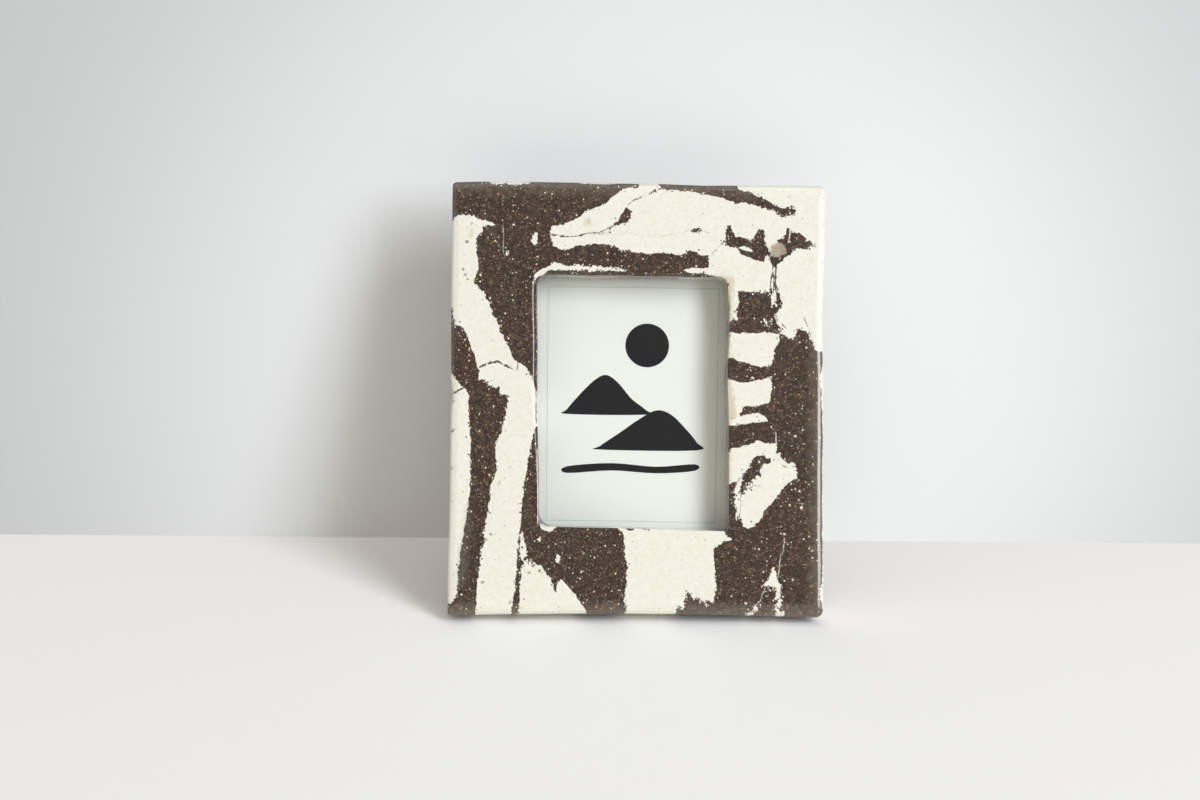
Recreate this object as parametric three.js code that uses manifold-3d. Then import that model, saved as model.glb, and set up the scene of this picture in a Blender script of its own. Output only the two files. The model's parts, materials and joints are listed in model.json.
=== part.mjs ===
// Small picture frame of marbled stoneware. It leans back on a folding easel strut, and four turn
// buttons hold the pane, the picture and the back board in a rebate behind the window.
// Units are millimetres. +Z is up, the front looks along -Y, and the origin lies on the table under
// the middle of the part. Inside the leaning group X runs across, Y from the front of the slab to
// its back, and Z up the slab from its foot.
import * as THREE from "three";
import { mergeVertices } from "three/addons/utils/BufferGeometryUtils.js";
import Module from "manifold-3d";

// Stance
const lean = THREE.MathUtils.degToRad(18); // the slab from upright
const strutAngle = THREE.MathUtils.degToRad(30); // the open strut from the back board
const fit = 0.3; // clearance between pieces that touch

// Stoneware slab
const frameWidth = 91;
const frameHeight = 105.5;
const frontWall = 6; // clay in front of the pane
const frontEdgeRadius = 1.6;
const backEdgeRadius = 1.2;
const cornerRadius = 1.5; // corners of the slab's outline
const footArch = 0.7; // rise of the foot edge between the two corners it stands on
const footSlant = THREE.MathUtils.degToRad(7); // the foot is cut to rise towards the back

// Window and the rebate behind it
const windowWidth = 46;
const windowHeight = 61.5;
const windowFoot = 21.75; // from the foot edge to the sill
const windowOffset = -1.4; // the window is cut a little left of the middle
const windowCornerRadius = 1.5;
const windowEdgeRadius = 0.8;
const lipWidth = 4.5; // clay that stands in front of the pane's rim
const rebateCornerRadius = 2;

// What the rebate holds, from front to back
const paneThickness = 2;
const paneArris = 0.25;
const pictureThickness = 0.4;
const pictureMargin = 0.5; // the picture is cut this much smaller than the pane
const boardThickness = 2.5;
const boardChamfer = 0.3;

// Turn buttons, their screws and the plugs in the clay
const buttonThickness = 1.2;
const buttonPivotRadius = 3.6;
const buttonTipRadius = 2.6;
const buttonReach = 8.4; // pivot to the centre of the tip
const buttonEdge = 0.2;
const buttonSetback = 4.6; // pivot to the rebate's wall
const buttonSpread = 40; // between the upper and the lower pair
const screwShankRadius = 1.2;
const screwLength = 7;
const screwPoint = 1.5;
const screwHeadRadius = 2.6;
const screwHeadHeight = 1.6;
const driveSlotLength = 3;
const driveSlotWidth = 0.7;
const driveSlotDepth = 0.8;
const plugRadius = 2.6;
const plugFloor = 1; // closed end of the plug, past the screw's point

// Hinge between the back board and the strut
const leafThickness = 0.8;
const leafWidth = 20;
const fixedLeafHeight = 13.5; // above the pin
const movingLeafHeight = 14; // below the pin
const leafCornerRadius = 2;
const leafMargin = 1.5; // fixed leaf to the board's upper edge
const outerKnuckleLength = 5.7;
const pinRadius = 1;
const pinHeadRadius = 1.7;
const pinHeadThickness = 0.7;
const rivetRadius = 1;
const rivetHeadRadius = 1.8;
const rivetHeadHeight = 0.9;
const rivetSpacing = 11;
const fixedRivetRise = 10.6; // rivet row above the pin
const strutRivetDrop = 9.5; // rivet row below the pin

// Easel strut
const strutThickness = 3;
const strutTopWidth = 20;
const strutFootWidth = 28;
const strutCornerRadius = 2.5;
const strutChamfer = 0.3;

// Facets
const cornerSteps = 5; // on each outline corner
const sideSteps = 6; // on each side of an outline
const edgeSteps = 4; // across a rounded edge
const roundSteps = 24; // round a screw, rivet or knuckle
const domeSteps = 4;

// Sizes that follow from the ones above
const rebateDepth = fit + paneThickness + fit + pictureThickness + fit + boardThickness;
const frameThickness = frontWall + rebateDepth;
const rebateWidth = windowWidth + 2 * lipWidth;
const rebateHeight = windowHeight + 2 * lipWidth;
const windowCentreHeight = windowFoot + windowHeight / 2;
const boardWidth = rebateWidth - 2 * fit;
const boardHeight = rebateHeight - 2 * fit;
const boardCornerRadius = rebateCornerRadius - fit;
const paneFront = frontWall + fit;
const pictureFront = paneFront + paneThickness + fit;
const boardFront = pictureFront + pictureThickness + fit;
const buttonFront = frameThickness + fit;
const screwSeat = buttonFront + buttonThickness + fit;
const plugLength = screwLength - (screwSeat - frameThickness) + fit + plugFloor;
const knuckleBore = pinRadius + fit;
const knuckleRadius = knuckleBore + leafThickness;
const innerKnuckleLength = leafWidth - 2 * (outerKnuckleLength + fit);
const leafFront = frameThickness + fit;
const pinDepth = leafFront + knuckleRadius;
const pinHeight = windowCentreHeight + boardHeight / 2 - leafMargin - fixedLeafHeight;
const strutFace = knuckleRadius + fit; // pin axis to the strut's inner face
const leafFaceBelowPin = knuckleRadius - leafThickness;
// The strut's heel meets the fixed leaf when the strut stands open.
const heelLength = (strutFace * Math.cos(strutAngle) + leafFaceBelowPin - fit) / Math.sin(strutAngle);
const strutTilt = strutAngle - lean; // the open strut from upright

const wasm = await Module();
wasm.setup();

function solidOf(geometry) {
  const bare = geometry.clone();
  bare.deleteAttribute("normal");
  bare.deleteAttribute("uv");
  const merged = mergeVertices(bare);
  return new wasm.Manifold(new wasm.Mesh({
    numProp: 3,
    vertProperties: new Float32Array(merged.attributes.position.array),
    triVerts: new Uint32Array(merged.index.array),
  }));
}

function geometryOf(solid) {
  const mesh = solid.getMesh();
  const geometry = new THREE.BufferGeometry();
  geometry.setAttribute("position", new THREE.BufferAttribute(mesh.vertProperties, 3));
  geometry.setIndex(new THREE.BufferAttribute(mesh.triVerts, 1));
  geometry.computeVertexNormals();
  return geometry;
}

function cut(geometry, cutters) {
  const solid = cutters.reduce((rest, cutter) => rest.subtract(solidOf(cutter)), solidOf(geometry));
  return geometryOf(solid);
}

function join(geometries) {
  return geometryOf(geometries.map(solidOf).reduce((whole, piece) => whole.add(piece)));
}

// Points of a rounded rectangle, counter-clockwise as seen from the front. Its foot edge can be
// lifted, and can arch.
function outlineLoop(width, height, radius, centreX, footZ, depth, lift = 0, arch = 0) {
  const halfX = width / 2 - radius;
  const halfZ = height / 2 - radius;
  const corners = [[1, -1], [1, 1], [-1, 1], [-1, -1]];
  const arcs = corners.map(([signX, signZ], corner) => {
    const points = [];
    for (let step = 0; step <= cornerSteps; step += 1) {
      const angle = (corner - 1 + step / cornerSteps) * Math.PI / 2;
      const x = signX * halfX + radius * Math.cos(angle);
      const z = signZ * halfZ + radius * Math.sin(angle);
      points.push(new THREE.Vector2(x, z));
    }
    return points;
  });
  const loop = [];
  arcs.forEach((points, corner) => {
    const next = arcs[(corner + 1) % arcs.length][0];
    const last = points[points.length - 1];
    loop.push(...points);
    for (let step = 1; step < sideSteps; step += 1) {
      loop.push(last.clone().lerp(next, step / sideSteps));
    }
  });
  return loop.map(({ x, y }) => {
    const across = x / (width / 2);
    const down = 0.5 - y / height;
    const rise = (lift + arch * (1 - across * across)) * down;
    return new THREE.Vector3(centreX + x, depth, footZ + height / 2 + y + rise);
  });
}

// Closed skin through loops of equal length, the last joined to the first.
function ringSkin(loops) {
  const count = loops[0].length;
  const index = [];
  loops.forEach((loop, station) => {
    const here = station * count;
    const there = ((station + 1) % loops.length) * count;
    for (let point = 0; point < count; point += 1) {
      const next = (point + 1) % count;
      index.push(here + point, there + point, here + next);
      index.push(here + next, there + point, there + next);
    }
  });
  const geometry = new THREE.BufferGeometry().setFromPoints(loops.flat());
  geometry.setIndex(index);
  geometry.computeVertexNormals();
  return geometry;
}

function slabLoop(inset, depth) {
  const width = frameWidth - 2 * inset;
  const height = frameHeight - 2 * inset;
  const radius = Math.max(cornerRadius - inset, cornerRadius / 4);
  return outlineLoop(width, height, radius, 0, inset, depth, depth * Math.tan(footSlant), footArch);
}

function windowLoop(outset, radius, depth) {
  const width = windowWidth + 2 * outset;
  const height = windowHeight + 2 * outset;
  return outlineLoop(width, height, radius, windowOffset, windowFoot - outset, depth);
}

// The slab's section, walked from the front face round the outer edge, across the back, down into
// the rebate, through the window and back to the front.
function frameBodyGeometry() {
  const loops = [];
  for (let step = 0; step <= edgeSteps; step += 1) {
    const turn = step / edgeSteps * Math.PI / 2;
    const inset = frontEdgeRadius * (1 - Math.sin(turn));
    loops.push(slabLoop(inset, frontEdgeRadius * (1 - Math.cos(turn))));
  }
  for (let step = 0; step <= edgeSteps; step += 1) {
    const turn = step / edgeSteps * Math.PI / 2;
    const depth = frameThickness - backEdgeRadius * (1 - Math.sin(turn));
    loops.push(slabLoop(backEdgeRadius * (1 - Math.cos(turn)), depth));
  }
  loops.push(windowLoop(lipWidth, rebateCornerRadius, frameThickness));
  loops.push(windowLoop(lipWidth, rebateCornerRadius, frontWall));
  loops.push(windowLoop(0, windowCornerRadius, frontWall));
  for (let step = 0; step <= edgeSteps; step += 1) {
    const turn = step / edgeSteps * Math.PI / 2;
    const outset = windowEdgeRadius * (1 - Math.cos(turn));
    const depth = windowEdgeRadius * (1 - Math.sin(turn));
    loops.push(windowLoop(outset, windowCornerRadius + outset, depth));
  }
  const holes = buttonPlaces.map(({ x, z }) => {
    const radius = plugRadius + fit;
    const hole = new THREE.CylinderGeometry(radius, radius, 2 * (plugLength + fit), roundSteps);
    return hole.translate(x, frameThickness, z);
  });
  return cut(ringSkin(loops), holes);
}

function roundedRectangle(width, height, radius) {
  const x = width / 2 - radius;
  const z = height / 2 - radius;
  const shape = new THREE.Shape();
  shape.absarc(x, -z, radius, -Math.PI / 2, 0);
  shape.absarc(x, z, radius, 0, Math.PI / 2);
  shape.absarc(-x, z, radius, Math.PI / 2, Math.PI);
  shape.absarc(-x, -z, radius, Math.PI, Math.PI * 1.5);
  return shape;
}

// Flat plate drawn in X and Z, its front at Y = 0, with chamfered edges.
function plate(shape, thickness, edge) {
  const geometry = new THREE.ExtrudeGeometry(shape, {
    depth: thickness - 2 * edge,
    curveSegments: cornerSteps,
    bevelEnabled: edge > 0,
    bevelThickness: edge,
    bevelSize: edge,
    bevelOffset: -edge,
    bevelSegments: 1,
  });
  geometry.rotateX(Math.PI / 2);
  return geometry.translate(0, thickness - edge, 0);
}

// Turned piece on the Y axis, its profile given as radius and height from the lower end up.
function turned(profile) {
  const points = profile.map(([radius, height]) => new THREE.Vector2(radius, height));
  return new THREE.LatheGeometry(points, roundSteps);
}

function dome(radius, height) {
  const points = [];
  for (let step = 0; step <= domeSteps; step += 1) {
    const turn = step / domeSteps * Math.PI / 2;
    points.push([step === domeSteps ? 0 : radius * Math.cos(turn), height * Math.sin(turn)]);
  }
  return points;
}

function throughHole(radius, x, z) {
  return new THREE.CylinderGeometry(radius, radius, frameThickness, roundSteps).translate(x, 0, z);
}

function rivetHoles(row) {
  return [-1, 1].map((side) => throughHole(rivetRadius + fit, side * rivetSpacing / 2, row));
}

const boardShape = () => roundedRectangle(boardWidth, boardHeight, boardCornerRadius);
const paneGeometry = () => plate(boardShape(), paneThickness, paneArris);

function pictureGeometry() {
  const width = boardWidth - 2 * pictureMargin;
  const height = boardHeight - 2 * pictureMargin;
  return plate(roundedRectangle(width, height, boardCornerRadius), pictureThickness, 0);
}

function backBoardGeometry() {
  const board = plate(boardShape(), boardThickness, boardChamfer);
  return cut(board, rivetHoles(pinHeight + fixedRivetRise - windowCentreHeight));
}

// Teardrop blade that points along +X from its pivot.
function turnButtonGeometry() {
  const tangent = Math.acos((buttonPivotRadius - buttonTipRadius) / buttonReach);
  const shape = new THREE.Shape();
  shape.absarc(0, 0, buttonPivotRadius, tangent, 2 * Math.PI - tangent);
  shape.absarc(buttonReach, 0, buttonTipRadius, -tangent, tangent);
  return cut(plate(shape, buttonThickness, buttonEdge), [throughHole(screwShankRadius + fit, 0, 0)]);
}

function buttonScrewGeometry() {
  const shank = [[0, -screwLength], [screwShankRadius, screwPoint - screwLength], [screwShankRadius, 0]];
  const screw = turned([...shank, ...dome(screwHeadRadius, screwHeadHeight)]);
  const slots = [0, Math.PI / 2].map((turn) => {
    const slot = new THREE.BoxGeometry(driveSlotLength, 2 * driveSlotDepth, driveSlotWidth);
    return slot.rotateY(turn).translate(0, screwHeadHeight, 0);
  });
  return cut(screw, slots);
}

// Plug with its mouth at Y = 0 and its closed end towards the front of the slab.
function screwPlugGeometry() {
  const bore = screwShankRadius + fit;
  return turned([
    [0, -plugLength], [plugRadius, -plugLength], [plugRadius, 0],
    [bore, 0], [bore, plugFloor - plugLength], [0, plugFloor - plugLength],
  ]);
}

function knuckle(length, x) {
  const half = length / 2;
  const tube = turned([
    [knuckleBore, -half], [knuckleRadius, -half],
    [knuckleRadius, half], [knuckleBore, half], [knuckleBore, -half],
  ]);
  return tube.rotateZ(Math.PI / 2).translate(x, 0, 0);
}

// Leaf plate drawn upward from the pin line. Slots beside the pin leave room for the other knuckles.
function leafPlate(height, slots) {
  const blank = roundedRectangle(leafWidth, 2 * height, leafCornerRadius);
  const reach = knuckleRadius + fit;
  const below = new THREE.BoxGeometry(2 * leafWidth, 4 * leafThickness, 2 * height);
  below.translate(0, 0, -height);
  const notches = slots.map(({ x, width }) => {
    return new THREE.BoxGeometry(width, 4 * leafThickness, 2 * reach).translate(x, 0, 0);
  });
  return cut(plate(blank, leafThickness, 0), [below, ...notches]);
}

const outerKnuckleCentre = (leafWidth - outerKnuckleLength) / 2;

function fixedLeafGeometry() {
  const leaf = leafPlate(fixedLeafHeight, [{ x: 0, width: innerKnuckleLength + 2 * fit }]);
  leaf.translate(0, -knuckleRadius, 0);
  const tubes = [-1, 1].map((side) => knuckle(outerKnuckleLength, side * outerKnuckleCentre));
  return cut(join([leaf, ...tubes]), rivetHoles(fixedRivetRise));
}

function movingLeafGeometry() {
  const slotWidth = 2 * (outerKnuckleLength + fit);
  const slots = [-1, 1].map((side) => ({ x: side * leafWidth / 2, width: slotWidth }));
  const leaf = leafPlate(movingLeafHeight, slots);
  leaf.rotateY(Math.PI).translate(0, leafFaceBelowPin, 0);
  return cut(join([leaf, knuckle(innerKnuckleLength, 0)]), rivetHoles(-strutRivetDrop));
}

function hingePinGeometry() {
  const inner = leafWidth / 2 + fit;
  const outer = inner + pinHeadThickness;
  const pin = turned([
    [0, -outer], [pinHeadRadius, -outer], [pinHeadRadius, -inner], [pinRadius, -inner],
    [pinRadius, inner], [pinHeadRadius, inner], [pinHeadRadius, outer], [0, outer],
  ]);
  return pin.rotateZ(Math.PI / 2);
}

// Rivet with its head's seat at Y = 0 and its shank towards the front.
function rivetGeometry(grip) {
  const shank = [[0, -grip], [rivetRadius, -grip], [rivetRadius, 0]];
  return turned([...shank, ...dome(rivetHeadRadius, rivetHeadHeight)]);
}

// Tapered strut drawn folded flat, seen from the pin. Its foot is cut level with the table.
function strutGeometry(pinAboveTable) {
  const reach = pinAboveTable / Math.cos(strutTilt);
  const footZ = -reach - strutThickness - strutFace;
  const radius = strutCornerRadius;
  const shape = new THREE.Shape();
  shape.moveTo(-strutFootWidth / 2, footZ);
  shape.lineTo(strutFootWidth / 2, footZ);
  shape.lineTo(strutTopWidth / 2, heelLength - radius);
  shape.absarc(strutTopWidth / 2 - radius, heelLength - radius, radius, 0, Math.PI / 2);
  shape.absarc(radius - strutTopWidth / 2, heelLength - radius, radius, Math.PI / 2, Math.PI);
  const strut = plate(shape, strutThickness, strutChamfer).translate(0, strutFace, 0);
  const table = new THREE.BoxGeometry(2 * strutFootWidth, 2 * frameHeight, 2 * frameHeight);
  table.translate(0, 0, -frameHeight).rotateX(-strutTilt).translate(0, 0, -reach);
  return cut(strut, [table, ...rivetHoles(-strutRivetDrop)]);
}

// Places of the four turn buttons on the back, seen from the front
const buttonPlaces = [];
for (const [row, rise] of [["upper", 1], ["lower", -1]]) {
  for (const [side, sign] of [["left", -1], ["right", 1]]) {
    buttonPlaces.push({
      name: `${row}_${side}`,
      x: windowOffset + sign * (rebateWidth / 2 + buttonSetback),
      z: windowCentreHeight + rise * buttonSpread / 2,
      turn: sign > 0 ? Math.PI : 0,
    });
  }
}

const leaning = new THREE.Group();
leaning.rotation.x = -lean;

function addPiece(parent, name, geometry, finish, place = [0, 0, 0]) {
  const mesh = new THREE.Mesh(geometry, new THREE.MeshStandardMaterial(finish));
  mesh.name = name;
  mesh.position.set(...place);
  parent.add(mesh);
  return mesh;
}

const stoneware = { color: 0x4a4138, roughness: 0.45, metalness: 0 };
const clearPane = { color: 0xe6eeec, roughness: 0.05, metalness: 0, transparent: true, opacity: 0.3 };
const paper = { color: 0xe4eae8, roughness: 0.6, metalness: 0 };
const facedBoard = { color: 0x2b2826, roughness: 0.8, metalness: 0 };
const zincSteel = { color: 0xb4b6b8, roughness: 0.35, metalness: 1 };
const brass = { color: 0xb89a5a, roughness: 0.3, metalness: 1 };
const nylon = { color: 0xd8d4c8, roughness: 0.6, metalness: 0 };

const bodyGeometry = frameBodyGeometry();
addPiece(leaning, "frame_body", bodyGeometry, stoneware);
const behindWindow = (depth) => [windowOffset, depth, windowCentreHeight];
addPiece(leaning, "clear_pane", paneGeometry(), clearPane, behindWindow(paneFront));
addPiece(leaning, "picture_card", pictureGeometry(), paper, behindWindow(pictureFront));
addPiece(leaning, "back_board", backBoardGeometry(), facedBoard, behindWindow(boardFront));

for (const { name, x, z, turn } of buttonPlaces) {
  addPiece(leaning, `screw_plug_${name}`, screwPlugGeometry(), nylon, [x, frameThickness, z]);
  const blade = turnButtonGeometry();
  const button = addPiece(leaning, `turn_button_${name}`, blade, zincSteel, [x, buttonFront, z]);
  button.rotation.y = turn;
  addPiece(leaning, `button_screw_${name}`, buttonScrewGeometry(), zincSteel, [x, screwSeat, z]);
}

const pinPlace = [windowOffset, pinDepth, pinHeight];
addPiece(leaning, "hinge_fixed_leaf", fixedLeafGeometry(), brass, pinPlace);
addPiece(leaning, "hinge_pin", hingePinGeometry(), zincSteel, pinPlace);

// The slab's lowest point in the leaning stance sets the height of the table.
const lowest = new THREE.Vector3();
const corner = new THREE.Vector3();
for (let point = 0; point < bodyGeometry.attributes.position.count; point += 1) {
  corner.fromBufferAttribute(bodyGeometry.attributes.position, point).applyEuler(leaning.rotation);
  lowest.min(corner);
}
const pinAboveTable = new THREE.Vector3(...pinPlace).applyEuler(leaning.rotation).z - lowest.z;

const swinging = new THREE.Group();
swinging.position.set(...pinPlace);
swinging.rotation.x = strutAngle;
leaning.add(swinging);
const strutBack = strutFace + strutThickness;
addPiece(swinging, "hinge_moving_leaf", movingLeafGeometry(), brass);
addPiece(swinging, "easel_strut", strutGeometry(pinAboveTable), facedBoard);

const boardGrip = fit + leafThickness + fit + boardThickness;
const strutGrip = fit + strutThickness + fit + leafThickness;
for (const [side, sign] of [["left", -1], ["right", 1]]) {
  const across = sign * rivetSpacing / 2;
  const seatDepth = leafFront + leafThickness + fit;
  const boardSeat = [windowOffset + across, seatDepth, pinHeight + fixedRivetRise];
  addPiece(leaning, `board_rivet_${side}`, rivetGeometry(boardGrip), brass, boardSeat);
  const strutSeat = [across, strutBack + fit, -strutRivetDrop];
  addPiece(swinging, `strut_rivet_${side}`, rivetGeometry(strutGrip), brass, strutSeat);
}

const pictureFrame = new THREE.Group();
pictureFrame.add(leaning);
pictureFrame.updateMatrixWorld(true);
const extent = new THREE.Box3().setFromObject(pictureFrame, true);
const middle = extent.getCenter(new THREE.Vector3());
leaning.position.set(-middle.x, -middle.y, -extent.min.z);

export default pictureFrame;
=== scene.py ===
import functools
import json
import math

import bmesh
import bpy
import numpy as np
from mathutils import Matrix, Vector


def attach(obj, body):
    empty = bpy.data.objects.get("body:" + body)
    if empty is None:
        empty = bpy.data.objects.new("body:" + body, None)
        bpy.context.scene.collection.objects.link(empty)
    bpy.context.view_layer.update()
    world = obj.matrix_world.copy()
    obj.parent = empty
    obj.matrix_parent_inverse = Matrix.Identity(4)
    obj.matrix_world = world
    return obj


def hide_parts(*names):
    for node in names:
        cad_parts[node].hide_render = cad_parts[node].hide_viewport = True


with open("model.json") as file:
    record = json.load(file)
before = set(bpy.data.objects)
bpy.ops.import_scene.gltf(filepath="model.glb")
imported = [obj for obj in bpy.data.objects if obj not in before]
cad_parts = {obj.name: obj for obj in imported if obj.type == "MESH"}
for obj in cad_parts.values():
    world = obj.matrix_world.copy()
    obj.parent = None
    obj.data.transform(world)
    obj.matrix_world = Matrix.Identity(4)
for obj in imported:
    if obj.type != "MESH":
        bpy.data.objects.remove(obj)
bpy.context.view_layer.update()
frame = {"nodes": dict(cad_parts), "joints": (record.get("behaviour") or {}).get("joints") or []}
nodes = frame["nodes"]
mm = 0.001
print("frame loaded:", len(nodes), "pieces")


# the slab's own axes: x across, y from its front to its back, z up from its foot edge
buttonJoint = next(joint for joint in frame["joints"] if joint["name"].startswith("turn_button"))
lean = math.atan2(-buttonJoint["axis"][2], buttonJoint["axis"][1])
leanTurn = np.array(Matrix.Rotation(-lean, 3, "X"))
bodyPoints = np.array([v.co for v in nodes["frame_body"].data.vertices]) @ leanTurn / mm
slabFront = bodyPoints[:, 1].min()
slabThickness = bodyPoints[:, 1].max() - slabFront
slabTop = bodyPoints[:, 2].max()


def toWorld(points):
    shifted = np.asarray(points, float) + np.array([0.0, slabFront, slabFoot])
    return shifted @ leanTurn.T * mm


def hexColour(text):
    parts = [int(text[i:i + 2], 16) / 255 for i in (1, 3, 5)]
    linear = [c / 12.92 if c <= 0.04045 else ((c + 0.055) / 1.055) ** 2.4 for c in parts]
    return (*linear, 1.0)


# adds one shader node: settings by name, and inputs that are values, hex colours, sockets or nodes to link
def addNode(tree, kind, inputs=None, **settings):
    node = tree.nodes.new("ShaderNode" + kind)
    for name, value in settings.items():
        setattr(node, name, value)
    for socket, value in (inputs or {}).items():
        if isinstance(value, bpy.types.Node):
            value = next(output for output in value.outputs if output.enabled)
        if isinstance(value, bpy.types.NodeSocket):
            tree.links.new(value, node.inputs[socket])
        else:
            node.inputs[socket].default_value = hexColour(value) if isinstance(value, str) else value
    return node


# an empty material, and the function that adds nodes to it
def newMaterial(name):
    material = bpy.data.materials.new(name)
    material.use_nodes = True
    material.node_tree.nodes.clear()
    return material, functools.partial(addNode, material.node_tree)


def newPiece(name, mesh, material, body, slotName, *stoodFor):
    piece = bpy.data.objects.new(name, mesh)
    bpy.context.scene.collection.objects.link(piece)
    mesh.materials.clear()
    mesh.materials.append(material)
    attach(piece, body)
    if stoodFor:
        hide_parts(*stoodFor)


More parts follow.
